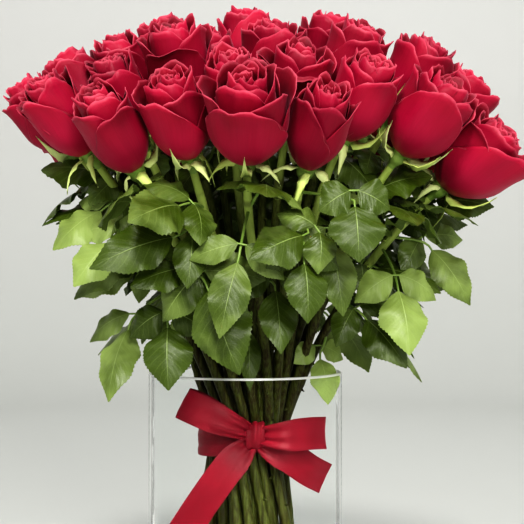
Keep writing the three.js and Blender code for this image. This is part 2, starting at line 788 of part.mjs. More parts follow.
/** The water, with a plain hole round each stem. */
function waterBody(blooms) {
  const radius = VASE_RADIUS - GLASS_WALL - 0.5;
  const bottom = GLASS_FLOOR + SEAT_GAP;
  const outline = [[0, bottom], [radius, bottom], [radius, WATER_LEVEL], [0, WATER_LEVEL]];
  const holes = blooms.map(({ line }) => {
    const { foot, tie } = line;
    const lift = (WATER_LEVEL + 6 - foot.z) / (tie.z - foot.z);
    const drop = -6 / (tie.z - foot.z);
    const ends = [drop, lift].map((t) => foot.clone().lerp(tie, t));
    const rings = ends.map((at) => ringAt(at, vec(0, 0, 1), STEM_RADIUS.foot + 0.6, 0, STEM_SIDES));
    return loft(ends[0], rings, ends[1]);
  });
  return oneBody(turnedBody(outline, VASE_SIDES).subtract(wasm.Manifold.union(holes)));
}

const blooms = allBlooms();
pressApart(blooms);
const slots = tieSlots(blooms);
blooms.forEach((bloom, index) => {
  bloom.seed = index + 1;
  bloom.spin = 2 * Math.PI * draw(index + 700);
  bloom.line = stemLine(bloom, slots[index]);
});

const rooms = blooms.map(bloomRoom);
const coreRing = (height) => ringAt(vec(0, 0, height), vec(0, 0, 1), TIE_CORE.radius, 0, 12);
const coreEnds = [vec(0, 0, TIE_CORE.low), vec(0, 0, TIE_CORE.high)];
const core = loft(coreEnds[0], [coreRing(TIE_CORE.low), coreRing(TIE_CORE.high)], coreEnds[1]);
const stems = blooms.map((bloom, index) => clearOf(stemBody(bloom), rooms, index));
const leaves = allLeaves(blooms, rooms);

addMesh("vase", vaseBody(), "#eef1ee", 0.05, { transparent: true, opacity: 0.25 });
addMesh("water", waterBody(blooms), "#dfe8e4", 0.05, { transparent: true, opacity: 0.3 });
addMesh("stems_and_leaves", oneBody(wasm.Manifold.union([core, ...stems, ...leaves])), GREEN, 0.55);
addMesh("ribbon", ribbonBody(blooms), "#a8162a", 0.35);
blooms.forEach((bloom, index) => {
  addMesh(`bloom_${String(index + 1).padStart(2, "0")}`, bloomBody(bloom), PETAL_RED, 0.6);
});

export default bouquet;
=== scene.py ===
import math
from functools import partialmethod

import bpy
import numpy as np
from mathutils import Matrix, Vector
from mathutils.bvhtree import BVHTree


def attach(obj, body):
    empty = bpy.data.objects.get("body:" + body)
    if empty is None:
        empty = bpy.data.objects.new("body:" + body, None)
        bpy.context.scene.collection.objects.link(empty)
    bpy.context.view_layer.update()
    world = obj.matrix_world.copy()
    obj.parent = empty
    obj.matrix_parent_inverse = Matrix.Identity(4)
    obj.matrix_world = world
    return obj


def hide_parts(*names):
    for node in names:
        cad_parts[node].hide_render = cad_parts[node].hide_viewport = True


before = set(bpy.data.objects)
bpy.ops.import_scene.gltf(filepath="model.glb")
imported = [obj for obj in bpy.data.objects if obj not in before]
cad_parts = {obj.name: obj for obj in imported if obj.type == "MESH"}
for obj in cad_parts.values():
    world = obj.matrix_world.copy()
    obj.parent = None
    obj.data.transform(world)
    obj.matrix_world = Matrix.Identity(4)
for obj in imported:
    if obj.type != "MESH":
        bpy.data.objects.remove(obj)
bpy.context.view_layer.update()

# A tied bunch of red roses in a straight glass vase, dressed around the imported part.
# Metres, +Z up, -Y the front. The real sizes are written in millimetres and turned to metres by MM.
MM = 0.001
scene = bpy.context.scene


# The vase: a cylinder of clear, colourless glass, drawn and cut, with a thick floor and a fire-polished rim.
# Its rim band is partly opaque, frosted white glass, a painted highlight that shows as a whiter line.
# It stands on its own flat foot, and nothing is fixed to it.
VASE_RADIUS = 75 * MM
VASE_HEIGHT = 250 * MM
GLASS_WALL = 4 * MM
GLASS_FLOOR = 14 * MM
RIM_ROUND = 1.6 * MM
FLOOR_ROUND = 6 * MM
TURNING_STEPS = 128
TURNING_SHARP = 40
GLASS_TINT = (1.0, 1.0, 1.0, 1)
GLASS_SHADE = (0.975, 0.99, 0.985, 1)
GLASS_BEND = 1.03
GLASS_COAT = 0.03
# The rim band, a painted highlight: how it bends light, how frosted it is and how clear it is
RIM_BEND = 1.4
RIM_FROST = 0.4
RIM_CLEAR = 0.35

# The node tree that is being drawn
board = None


class Flow:
    """A value that runs through the tree on the board. Sums written with it add the nodes for them."""

    def __init__(self, socket):
        self.socket = socket

    def act(self, operation, *others):
        """Works with other values, as vectors if this one is a vector."""
        kind = "Vector" if self.socket.type in ("VECTOR", "RGBA") else ""
        out = int(operation == "LENGTH")
        return flow(f"ShaderNode{kind}Math", self, *others, out=out, operation=operation)

    __add__ = __radd__ = partialmethod(act, "ADD")
    __mul__ = __rmul__ = partialmethod(act, "MULTIPLY")
    __sub__ = partialmethod(act, "SUBTRACT")
    __truediv__ = partialmethod(act, "DIVIDE")
    __pow__ = partialmethod(act, "POWER")

    def __rsub__(self, other):
        return flow("ShaderNodeMath", other, self, operation="SUBTRACT")

    def ease(self, low, high, start=0, end=1):
        """Goes smoothly from start to end while the value goes from low to high, then stays level."""
        return flow("ShaderNodeMapRange", self, low, high, start, end, interpolation_type="SMOOTHSTEP")

    def split(self):
        return [Flow(out) for out in node("ShaderNodeSeparateXYZ", self).outputs]


def feed(place, value):
    """Joins a value to a node's input, or sets the input to a plain number, colour or word."""
    if isinstance(value, Flow):
        board.links.new(value.socket, place)
    elif place.type == "VECTOR" and np.isscalar(value):
        place.default_value = (value, value, value)
    else:
        place.default_value = value


def node(kind, *values, **named):
    """A new node on the board. Inputs go by order or by capital names, and settings by small names."""
    made = board.nodes.new(kind)
    for name in named:
        if name[0].islower():
            setattr(made, name, named[name])
    inputs = [(name.replace("_", " "), value) for name, value in named.items() if name[0].isupper()]
    for place, value in [*enumerate(values), *inputs]:
        if value is not None:
            feed(made.inputs[place], value)
    return made


def flow(kind, *values, out=0, **named):
    return Flow(node(kind, *values, **named).outputs[out])


def tint(factor, a, b):
    """From one colour to another by a factor."""
    return flow("ShaderNodeMix", factor, *[None] * 5, a, b, out=2, data_type="RGBA")


def new_group(name, kind, gives, **takes):
    """Starts a node group. The names of its outputs and inputs are listed under their kinds of socket."""
    global board
    board = bpy.data.node_groups.new(name, kind + "NodeTree")
    for way, kinds in (("INPUT", takes), ("OUTPUT", gives)):
        for socket, labels in kinds.items():
            for label in labels.split(", "):
                board.interface.new_socket(label, in_out=way, socket_type="NodeSocket" + socket)
    entry = board.nodes.new("NodeGroupInput")
    return {s.name: Flow(s) for s in entry.outputs if s.name}, board.nodes.new("NodeGroupOutput").inputs


def placed(group, **inputs):
    """The outputs of a node group that is put on the board."""
    kind = "GeometryNodeGroup" if board.bl_idname == "GeometryNodeTree" else "ShaderNodeGroup"
    return [Flow(out) for out in node(kind, node_tree=group, **inputs).outputs]


def new_material(name, clear=False, **plain):
    """Starts a material with a Principled surface. One that is clear lets the light of the lamps through."""
    global board
    material = bpy.data.materials.new(name)
    material.use_nodes = True
    board = material.node_tree
    board.nodes.clear()
    surface = flow("ShaderNodeBsdfPrincipled", **plain)
    if clear:
        shadow = flow("ShaderNodeLightPath", out="Is Shadow Ray")
        surface = flow("ShaderNodeMixShader", shadow, surface, flow("ShaderNodeBsdfTransparent"))
    node("ShaderNodeOutputMaterial", surface)
    return material


def painted(material, colour, rough=None, height=None, strength=0, distance=0):
    """Gives a material its colour, and if asked its roughness and a raised grain."""
    surface = board.nodes["Principled BSDF"].inputs
    feed(surface["Base Color"], colour)
    if rough:
        feed(surface["Roughness"], rough)
    if height:
        feed(surface["Normal"], flow("ShaderNodeBump", Height=height, Strength=strength, Distance=distance))
    return material


def object_place():
    return flow("ShaderNodeTexCoord", out="Object")


def noise(place, scale, detail=2.0):
    return flow("ShaderNodeTexNoise", Vector=place, Scale=scale, Detail=detail, out="Fac")


def new_piece(name, mesh, slot, *nodes):
    """Puts a finished mesh in the scene as a piece of the part, in place of the CAD nodes it stands for."""
    piece = bpy.data.objects.new(name, mesh)
    scene.collection.objects.link(piece)
    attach(piece, "root")
    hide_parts(*nodes)
    return piece


def smooth_mesh(name, points, faces, material, sharp=0):
    """A smooth mesh in one material. Its edges are sharp from an angle in degrees on, if one is given."""
    mesh = bpy.data.meshes.new(name)
    mesh.from_pydata(points, [], faces)
    mesh.shade_smooth()
    if sharp:
        mesh.set_sharp_from_angle(angle=math.radians(sharp))
    mesh.materials.append(material)
    return mesh


def full_turn(steps):
    """The angles of even steps once round."""
    return np.arange(steps) * 2 * math.pi / steps


def turned(name, outline, material, steps=TURNING_STEPS, sharp=TURNING_SHARP):
    """A round body from its outline of radius and height. It closes where its outline meets the axis."""
    points, rings, faces = [], [], []
    for radius, height in outline:
        angles = full_turn(steps) if radius else [0]
        rings.append([len(points) + j % len(angles) for j in range(steps + 1)])
        points += [(radius * math.cos(a), radius * math.sin(a), height) for a in angles]
    for near, far in zip(rings, rings[1:]):
        for j in range(steps):
            faces.append(tuple(dict.fromkeys((near[j], near[j + 1], far[j + 1], far[j]))))
    return smooth_mesh(name, points, faces, material, sharp)


def round_corner(centre, radius, start, end, steps=5):
    """Points of an outline round a corner, from one angle to another in degrees."""
    angles = [math.radians(start + (end - start) * k / steps) for k in range(steps + 1)]
    return [(centre[0] + radius * math.cos(a), centre[1] + radius * math.sin(a)) for a in angles]


def glass_material(name, bend, frost, through):
    material = new_material(
        name, True, Transmission_Weight=through, IOR=bend, Coat_Weight=GLASS_COAT, Coat_Roughness=0.02)
    place = object_place()
    smear = noise(place, 26, 3).ease(0.55, 0.8, frost, frost + 0.03)
    return painted(material, tint(noise(place, 9), GLASS_TINT, GLASS_SHADE), smear)


inside = VASE_RADIUS - GLASS_WALL
vase_outline = [
    (0, 0),
    *round_corner((VASE_RADIUS - RIM_ROUND, RIM_ROUND), RIM_ROUND, -90, 0),
    *round_corner((VASE_RADIUS - RIM_ROUND, VASE_HEIGHT - RIM_ROUND), RIM_ROUND, 0, 90),
    *round_corner((inside + RIM_ROUND, VASE_HEIGHT - RIM_ROUND), RIM_ROUND, 90, 180),
    *round_corner((inside - FLOOR_ROUND, GLASS_FLOOR + FLOOR_ROUND), FLOOR_ROUND, 0, -90),
    (0, GLASS_FLOOR),
]
vase_mesh = turned("glass_vase", vase_outline, glass_material("clear_glass", GLASS_BEND, 0, 1))
# The rim band gets its own partly opaque, frosted glass: a painted highlight along the rim.
vase_mesh.materials.append(glass_material("rim_glass", RIM_BEND, RIM_FROST, RIM_CLEAR))
for face in vase_mesh.polygons:
    face.material_index = int(face.center.z > VASE_HEIGHT - RIM_ROUND)
new_piece("glass_vase", vase_mesh, "glass", "vase")


# The water: clean tap water in which the stems stand. It meets the glass all round, climbs it a little at
# its edge, and fills the vase to under half its height.
WATER_LEVEL = 95 * MM
WATER_CLIMB = 1.4 * MM
WATER_EDGE = 3 * MM
WETTING = 0.1 * MM
WATER_TINT = (0.99, 1.0, 0.995, 1)
WATER_SHADE = (0.96, 0.98, 0.96, 1)
WATER_BEND = 1.333


def water_material():
    material = new_material("tap_water", True, Transmission_Weight=1, IOR=WATER_BEND, Roughness=0)
    return painted(material, tint(noise(object_place(), 14), WATER_TINT, WATER_SHADE))


wet = inside + WETTING
water_outline = [
    (0, GLASS_FLOOR - WETTING),
    *round_corner((wet - FLOOR_ROUND, GLASS_FLOOR + FLOOR_ROUND - WETTING), FLOOR_ROUND, -90, 0),
    (wet, WATER_LEVEL + WATER_CLIMB),
    (wet - WATER_EDGE * 0.3, WATER_LEVEL + WATER_CLIMB * 0.4),
    (wet - WATER_EDGE, WATER_LEVEL),
    (0, WATER_LEVEL),
]
new_piece("tap_water", turned("tap_water", water_outline, water_material()), "water", "water")


# How the roses stand: each bloom has its place in the dome, and blooms that touch press each other apart.
# The stems cross in a spiral at the tie and spread again to their feet. All of it is worked out in
# millimetres, and by the same rule as the part's own solids.
LEAN_FROM = np.array([0, 0, 255.0])
BLOOM_GAP = 0.8
BLOOM_NEAR = 20
BLOOM_YIELD = np.array([0.45, 1.55, 0.45])
BLOOM_BALLS = np.array([0.45, 0.565, 0.68])
TIE_HEIGHT = 199
TIE_RADIUS = 28.5
TIE_SPACING = 7.7
TIE_TURN = math.radians(40)
FOOT_RADIUS = 60
FOOT_TURN = math.radians(38)
FOOT_HEIGHT = 14.3
NECK_DROP = 13
UPPER_SPREAD = 0.27
UPPER_TWIST = 0.006
TIE_BEND = 0.34
NECK_BEND = 0.3
PRESS_TURNS = 240
HOME_TURNS = 120
HOME_PULL = 0.03
TIE_TURNS = 400

# The front of the bunch: where each bloom's middle is, its width, its height and how far it is open
FRONT_BLOOMS = [
    (7, -150, 426, 56, 67, 0.7), (47, -142, 424, 42, 63, 0.2), (-41, -140, 430, 46, 62, 0.9),
    (-84, -124, 424, 43, 63, 0.4), (-116, -92, 440, 43, 62, 0.5), (-145, -58, 441, 42, 58, 0.3),
    (82, -120, 442, 46, 60, 0.4), (122, -106, 434, 52, 60, 0.6), (163, -66, 414, 62, 60, 1.0),
    (154, -34, 448, 48, 58, 0.5), (122, -60, 466, 48, 58, 0.5), (-12, -108, 450, 42, 58, 0.4),
    (36, -102, 456, 47, 58, 0.9), (82, -76, 474, 48, 60, 0.4), (58, -38, 488, 46, 62, 0.5),
    (20, -60, 478, 47, 60, 0.7), (-24, -50, 476, 44, 60, 0.4), (-48, -84, 466, 47, 60, 0.6),
    (-62, -20, 486, 47, 60, 0.6), (-86, -92, 450, 42, 58, 0.5), (-86, -52, 470, 46, 58, 0.5),
    (-122, -40, 464, 46, 58, 0.4),
]

# The rings at the back: how many blooms, the ring's radius and height, its angles, and the bloom's width
BACK_RINGS = [(8, 152, 438, 4, 148, 55), (6, 114, 462, 14, 172, 54), (4, 72, 482, 20, 164, 51),
              (2, 26, 492, -100, 80, 47)]
BACK_UNEVEN = 4
BACK_SWING = 8
BACK_HEIGHT = 60
BACK_OPEN = (0.2, 0.8)


def draw(seed):
    """A number from 0 to 1 that is always the same for the same seed."""
    wave = math.sin(seed * 127.1 + 11.7) * 43758.5453
    return wave - math.floor(wave)


def mix(a, b, t):
    """From a to b by t, as plain numbers or as values that change over a surface."""
    return a + (b - a) * t


def unit(directions):
    return directions / np.linalg.norm(directions, axis=-1, keepdims=True)


def round_about(radius, angle, height):
    """The point at a radius, an angle and a height round the vase's axis."""
    return np.array([radius * math.cos(angle), radius * math.sin(angle), height])


class Rose:
    """One rose: its bloom, and the line of its stem."""

    def __init__(self, index, home, width, height, open_share):
        self.seed = index + 1
        self.home = self.at = np.array(home, float)
        self.width, self.height, self.open = width, height, open_share

    def settle(self):
        self.lean = unit(self.at - LEAN_FROM)
        self.base = self.at - self.lean * self.height / 2

    def sideways(self):
        """Two directions square on the bloom's axis."""
        side = unit(np.array([-self.lean[1], self.lean[0], 0]))
        return side, unit(np.cross(self.lean, side))


def all_roses():
    roses = [Rose(i, row[:3], *row[3:]) for i, row in enumerate(FRONT_BLOOMS)]
    for count, radius, height, start, end, width in BACK_RINGS:
        for k in range(count):
            seed = len(roses)
            angle = math.radians(mix(start, end, k / (count - 1)) + BACK_SWING * (draw(seed) - 0.5))
            width_here = width + BACK_UNEVEN * (draw(seed + 50) - 0.5)
            home = round_about(radius, angle, height)
            roses.append(Rose(seed, home, width_here, BACK_HEIGHT, mix(*BACK_OPEN, draw(seed + 90))))
    return roses


def press_pair(a, b):
    reach = (a.width + b.width) / 2 + BLOOM_GAP
    if np.linalg.norm(a.at - b.at) > reach + BLOOM_NEAR:
        return
    p, q = (rose.at + np.outer((BLOOM_BALLS - 0.5) * rose.height, rose.lean) for rose in (a, b))
    apart = p[:, None] - q[None]
    gaps = np.linalg.norm(apart, axis=2)
    i, j = np.unravel_index(np.argmin(gaps), gaps.shape)
    if gaps[i, j] < reach:
        push = apart[i, j] / gaps[i, j] * (reach - gaps[i, j]) * 0.5 * BLOOM_YIELD
        a.at = a.at + push
        b.at = b.at - push


def press_apart(roses):
    """Blooms press each other apart until they only just touch."""
    for turn in range(PRESS_TURNS):
        for rose in roses:
            if turn < HOME_TURNS:
                rose.at = rose.at + (rose.home - rose.at) * HOME_PULL
            rose.settle()
        for i, rose in enumerate(roses):
            for other in roses[i + 1:]:
                press_pair(rose, other)
    for rose in roses:
        rose.settle()


def tie_slots(roses):
    """Places the stems in the tie: in a spiral by how far out the bloom is, then pressed apart."""
    slots = np.zeros((len(roses), 2))
    order = sorted(range(len(roses)), key=lambda i: math.hypot(*roses[i].at[:2]))
    for rank, index in enumerate(order):
        angle = math.atan2(roses[index].at[1], roses[index].at[0]) + TIE_TURN
        slots[index] = round_about(TIE_RADIUS * math.sqrt((rank + 0.3) / len(roses)), angle, 0)[:2]
    for _ in range(TIE_TURNS):
        for i in range(len(slots)):
            for j in range(i + 1, len(slots)):
                apart = slots[i] - slots[j]
                gap = math.hypot(*apart)
                if gap < TIE_SPACING:
                    step = apart / gap * (TIE_SPACING - gap) / 2
                    slots[i] += step
                    slots[j] -= step
            far = math.hypot(*slots[i])
            if far > TIE_RADIUS:
                slots[i] *= TIE_RADIUS / far
    return slots


def bezier(points, t):
    a, b, c, d = points
    return a * (1 - t) ** 3 + b * 3 * t * (1 - t) ** 2 + c * 3 * t * t * (1 - t) + d * t ** 3


def lay_stem(rose, slot):
    """Gives a rose its foot on the vase's floor, its place in the tie and its curve up to the bloom."""
    x, y = slot
    rose.tie = np.array([x, y, TIE_HEIGHT])
    turned_slot = Matrix.Rotation(FOOT_TURN, 2) @ Vector(slot)
    rose.foot = np.array([*(turned_slot * FOOT_RADIUS / TIE_RADIUS), FOOT_HEIGHT])
    rose.neck = rose.base - rose.lean * NECK_DROP
    spread = UPPER_SPREAD / TIE_RADIUS
    rise = unit(np.array([x * spread + y * UPPER_TWIST, y * spread - x * UPPER_TWIST, 1]))
    length = np.linalg.norm(rose.neck - rose.tie)
    bends = rose.tie + rise * length * TIE_BEND, rose.neck - rose.lean * length * NECK_BEND
    rose.curve = (rose.tie, *bends, rose.neck)


roses = all_roses()
press_apart(roses)
for rose, slot in zip(roses, tie_slots(roses)):
    lay_stem(rose, slot)


# The stems: long, woody shoots with a knuckle at each leaf scar and hooked prickles, stripped of their
# leaves below the tie. They are fresh green under the bloom, and olive with brown bark further down.
# Fresh green high up is the young stem, but only the outermost stems get it; the darker inner stems are
# painted shade.
LOWER_SPOTS = 8
UPPER_SPOTS = 22
STEM_FOOT = 4.2
STEM_TIE = 3.9
STEM_NECK = 2.9
PRICKLE_FOOT = 0.42
PRICKLE_LENGTH = 1.25
PRICKLE_HOOK = math.radians(104)
STEM_FRESH = (0.37, 0.47, 0.12, 1)
STEM_OLIVE = (0.027, 0.029, 0.003, 1)
STEM_BARK = (0.027, 0.016, 0.006, 1)
STEM_SCAR = (0.03, 0.02, 0.01, 1)


def read(name, kind="FLOAT"):
    """What a named value of the mesh is at each point, in a geometry tree."""
    return flow("GeometryNodeInputNamedAttribute", Name=name, out="Attribute", data_type=kind)


def keep(geometry, name, value, kind="FLOAT"):
    """Keeps a value on each point of the mesh under a name."""
    return flow("GeometryNodeStoreNamedAttribute", Geometry=geometry, Name=name, Value=value,
                data_type=kind, domain="POINT")


def chance(low, high, ident, seed):
    return flow("FunctionNodeRandomValue", None, None, low, high, None, None, None, ident, seed,
                out=1, data_type="FLOAT")


def join(*parts):
    made = node("GeometryNodeJoinGeometry")
    for part in reversed(parts):
        feed(made.inputs[0], part)
    return Flow(made.outputs[0])


def finish_mesh(geometry, material):
    """Smooth faces in their material."""
    smooth = flow("GeometryNodeSetShadeSmooth", Geometry=geometry)
    return flow("GeometryNodeSetMaterial", Geometry=smooth, Material=material)


def grown(name, tree, start, **inputs):
    """Runs a geometry tree on a start mesh with its named inputs, and gives the plain mesh it makes."""
    holder = bpy.data.objects.new(name, start)
    scene.collection.objects.link(holder)
    modifier = holder.modifiers.new("grow", "NODES")
    modifier.node_group = tree
    for item in tree.interface.items_tree:
        if item.item_type == "SOCKET" and item.name.replace(" ", "_") in inputs:
            modifier[item.identifier] = inputs[item.name.replace(" ", "_")]
    graph = bpy.context.evaluated_depsgraph_get()
    mesh = bpy.data.meshes.new_from_object(
        holder.evaluated_get(graph), preserve_all_data_layers=True, depsgraph=graph)
    mesh.name = name
    bpy.data.objects.remove(holder)
    return mesh


def green_piece(name, tree, start, sharp=0, **inputs):
    """Grows one piece of the green body of stems and leaves."""
    mesh = grown(name, tree, start, **inputs)
    if sharp:
        mesh.set_sharp_from_angle(angle=math.radians(sharp))
    new_piece(name, mesh, "green", "stems_and_leaves")


def mark(mesh, **values):
    """Keeps named values on the points of a mesh."""
    for label, rows in values.items():
        rows = np.array(rows, np.float32)
        kind, key = ("FLOAT_VECTOR", "vector") if rows.ndim == 2 else ("FLOAT", "value")
        mesh.attributes.new(label, kind, "POINT").data.foreach_set(key, rows.ravel())
    return mesh


def points_mesh(name, points, edges=(), **values):
    """A start mesh of bare points or lines, with named values on its points."""
    mesh = bpy.data.meshes.new(name)
    mesh.from_pydata([tuple(p * MM) for p in points], edges, [])
    return mark(mesh, **values)


def lines_mesh(name, runs):
    """A start mesh of lines, each a run of points with how thick it is at each."""
    points, edges, thick = [], [], []
    for run, radii in runs:
        edges += [(len(points) + k, len(points) + k + 1) for k in range(len(run) - 1)]
        points += list(run)
        thick += [r * MM for r in radii]
    return points_mesh(name, points, edges, thick=thick)


def stalk_tree():
    """Round stalks along lines, with knuckles at a spacing and prickles standing off them."""
    take, give = new_group(
        "Round stalks", "Geometry", {"Geometry": "Mesh"}, Geometry="Lines", Int="Sides, Seed",
        Float="Step, Knuckle spacing, Knuckle swell, Prickle spacing, Prickle share", Material="Material")
    curve = flow("GeometryNodeMeshToCurve", Mesh=take["Lines"])
    curve = flow("GeometryNodeResampleCurve", Curve=curve, Length=take["Step"], mode="LENGTH")
    thick = read("thick")
    stem = flow("GeometryNodeInputIndex")
    beat = (flow("GeometryNodeSplineParameter", out="Length") / take["Knuckle spacing"]).act("FRACT") - 0.5
    swell = (beat * beat * -260).act("EXPONENT") * take["Knuckle swell"]
    uneven = noise(flow("GeometryNodeInputPosition"), 45)
    profile = flow("GeometryNodeCurvePrimitiveCircle", Resolution=take["Sides"], Radius=1.0, out="Curve")
    tube = flow("GeometryNodeCurveToMesh", Curve=keep(curve, "knuckle", swell), Profile_Curve=profile,
                Scale=thick * (swell + 0.94 + uneven * 0.1), Fill_Caps=True)
    spots = node("GeometryNodeCurveToPoints", Curve=curve, Length=take["Prickle spacing"], mode="LENGTH")
    turn = flow("FunctionNodeAxisAngleToRotation", Axis=(0, 0, 1),
                Angle=chance(0, 6.283, stem, take["Seed"]))
    facing = flow("FunctionNodeRotateRotation", Rotation=Flow(spots.outputs["Rotation"]), Rotate_By=turn,
                  rotation_space="LOCAL")
    outward = flow("FunctionNodeRotateVector", Vector=(1, 0, 0), Rotation=facing)
    bare = chance(0, 1, stem, take["Seed"] + 1).act("GREATER_THAN", take["Prickle share"])
    kept = flow("GeometryNodeDeleteGeometry", Selection=bare, domain="POINT",
                Geometry=keep(Flow(spots.outputs["Points"]), "outward", outward, "FLOAT_VECTOR"))
    outward = read("outward", "FLOAT_VECTOR")
    seated = flow("GeometryNodeSetPosition", Geometry=kept, Offset=outward * (thick * 0.8))
    cone = flow("GeometryNodeMeshCone", Vertices=5, Side_Segments=1, Radius_Top=0.0,
                Radius_Bottom=PRICKLE_FOOT, Depth=PRICKLE_LENGTH, out="Mesh")
    lying = flow("GeometryNodeTransform", Geometry=cone, Rotation=(0, PRICKLE_HOOK, 0))
    aimed = flow("FunctionNodeAlignRotationToVector", Vector=outward, axis="X")
    hooks = flow("GeometryNodeInstanceOnPoints", Points=seated, Instance=lying, Rotation=aimed,
                 Scale=thick * chance(0.7, 1.1, stem, take["Seed"] + 2))
    hooks = flow("GeometryNodeRealizeInstances", Geometry=hooks)
    feed(give["Mesh"], finish_mesh(join(tube, hooks), take["Material"]))
    return board


def named(name):
    """What a named value of the mesh is at the shaded spot, in a material."""
    return flow("ShaderNodeAttribute", out="Fac", attribute_name=name)


def grain_group():
    """The fine grain of a grown skin: soft patches, and short marks that run along one way."""
    take, give = new_group("Grown skin", "Shader", {"Float": "Patches, Marks"}, Vector="Place",
                           Float="Patch size, Mark size")
    feed(give["Patches"], noise(take["Place"], take["Patch size"], 3).ease(0.3, 0.7))
    feed(give["Marks"], noise(take["Place"] * (1, 1, 0.15), take["Mark size"], 2).ease(0.35, 0.65))
    return board


skin = grain_group()


def stem_material():
    material = new_material("rose_stem", Specular_IOR_Level=0.14)
    place = object_place()
    height = place.split()[2]
    outer = (place * (1, 1, 0)).act("LENGTH")
    patches, marks = placed(skin, Place=place * (1, 1, 0.12), Patch_size=130, Mark_size=700)
    # Fresh green high up is the young stem; keeping it to the outermost stems leaves the inner ones dark, a
    # painted shade inside the bunch.
    fresh = height.ease(0.22, 0.35) * outer.ease(0.065, 0.105, 0.05, 1)
    bark = patches * 0.8 + height.ease(0.15, 0.24, -0.2, 0.1) + height.ease(0.30, 0.36, 0, -0.6)
    aged = tint(bark.ease(0.1, 1), tint(fresh, STEM_OLIVE, STEM_FRESH), STEM_BARK)
    scarred = tint(named("knuckle").ease(0.06, 0.15, 0, 0.55), aged, STEM_SCAR)
    colour = tint(marks * 0.12, scarred, STEM_FRESH)
    return painted(material, colour, patches.ease(0, 1, 0.36, 0.55), marks, 0.2, 0.0002)


def stem_run(rose):
    """The points of one stem from its cut foot to under its bloom, with its thickness at each."""
    lower = [rose.foot * (1 - t) + rose.tie * t for t in np.linspace(0, 1, LOWER_SPOTS)[:-1]]
    upper = [bezier(rose.curve, t) for t in np.linspace(0, 1, UPPER_SPOTS)]
    thick = [*np.linspace(STEM_FOOT, STEM_TIE, LOWER_SPOTS)[:-1],
             *np.linspace(STEM_TIE, STEM_NECK, UPPER_SPOTS)]
    return lower + upper, thick


stalks = stalk_tree()
green_piece(
    "rose_stems", stalks, lines_mesh("stem_lines", [stem_run(rose) for rose in roses]), Sides=8,
    Step=6 * MM, Knuckle_spacing=52 * MM, Knuckle_swell=0.17, Prickle_spacing=23 * MM, Prickle_share=0.42,
    Seed=5, Material=stem_material())


# The hips and sepals: under each bloom the stem swells into a smooth green hip, and from its rim hang five
# narrow sepals that arch outwards and curl at their tips.
HIP_LINE = [(-14, 2.9), (-11, 3.4), (-8, 5.6), (-5, 6.6), (-2.5, 6.5), (0, 7.6), (1.6, 8.4)]
HIP_GREEN = (0.16, 0.27, 0.045, 1)
HIP_PALE = (0.27, 0.37, 0.10, 1)
SEPALS = 5
SEPAL_UPRIGHT = 0.34
SEPAL_LENGTH = 32
SEPAL_HALF = 4.2
SEPAL_FOLD = -0.35
SEPAL_THICK = 0.6 * MM
SEPAL_TOP = (0.52, 0.63, 0.18, 1)
SEPAL_UNDER = (0.68, 0.76, 0.36, 1)


def thicken_group():
    """Makes a sheet a thin closed body, with one material on its face and another on its back."""
    take, give = new_group("Thicken a sheet", "Geometry", {"Geometry": "Body"}, Geometry="Sheet",
                           Float="Thickness", Material="Face, Back")
    face = flow("GeometryNodeExtrudeMesh", Mesh=take["Sheet"], Offset_Scale=take["Thickness"],
                Individual=False, mode="FACES")
    back = flow("GeometryNodeFlipFaces", Mesh=take["Sheet"])
    both = join(finish_mesh(face, take["Face"]), finish_mesh(back, take["Back"]))
    feed(give["Body"], flow("GeometryNodeMergeByDistance", Geometry=both, Distance=1e-6))
    return board


def copies_group():
    """Copies of a flat sheet, one at each point, with the place on it: across -1 to 1, along 0 to 1."""
    take, give = new_group("Copies of a sheet", "Geometry", {"Geometry": "Sheets"}, Geometry="Points",
                           Int="Columns, Rows")
    grid = flow("GeometryNodeMeshGrid", Size_X=2.0, Size_Y=1.0, Vertices_X=take["Columns"],
                Vertices_Y=take["Rows"], out="Mesh")
    x, y, _ = flow("GeometryNodeInputPosition").split()
    marked = keep(keep(grid, "across", x), "along", y + 0.5)
    copies = flow("GeometryNodeInstanceOnPoints", Points=take["Points"], Instance=marked)
    feed(give["Sheets"], flow("GeometryNodeRealizeInstances", Geometry=copies))
    return board


thicken = thicken_group()
copies = copies_group()


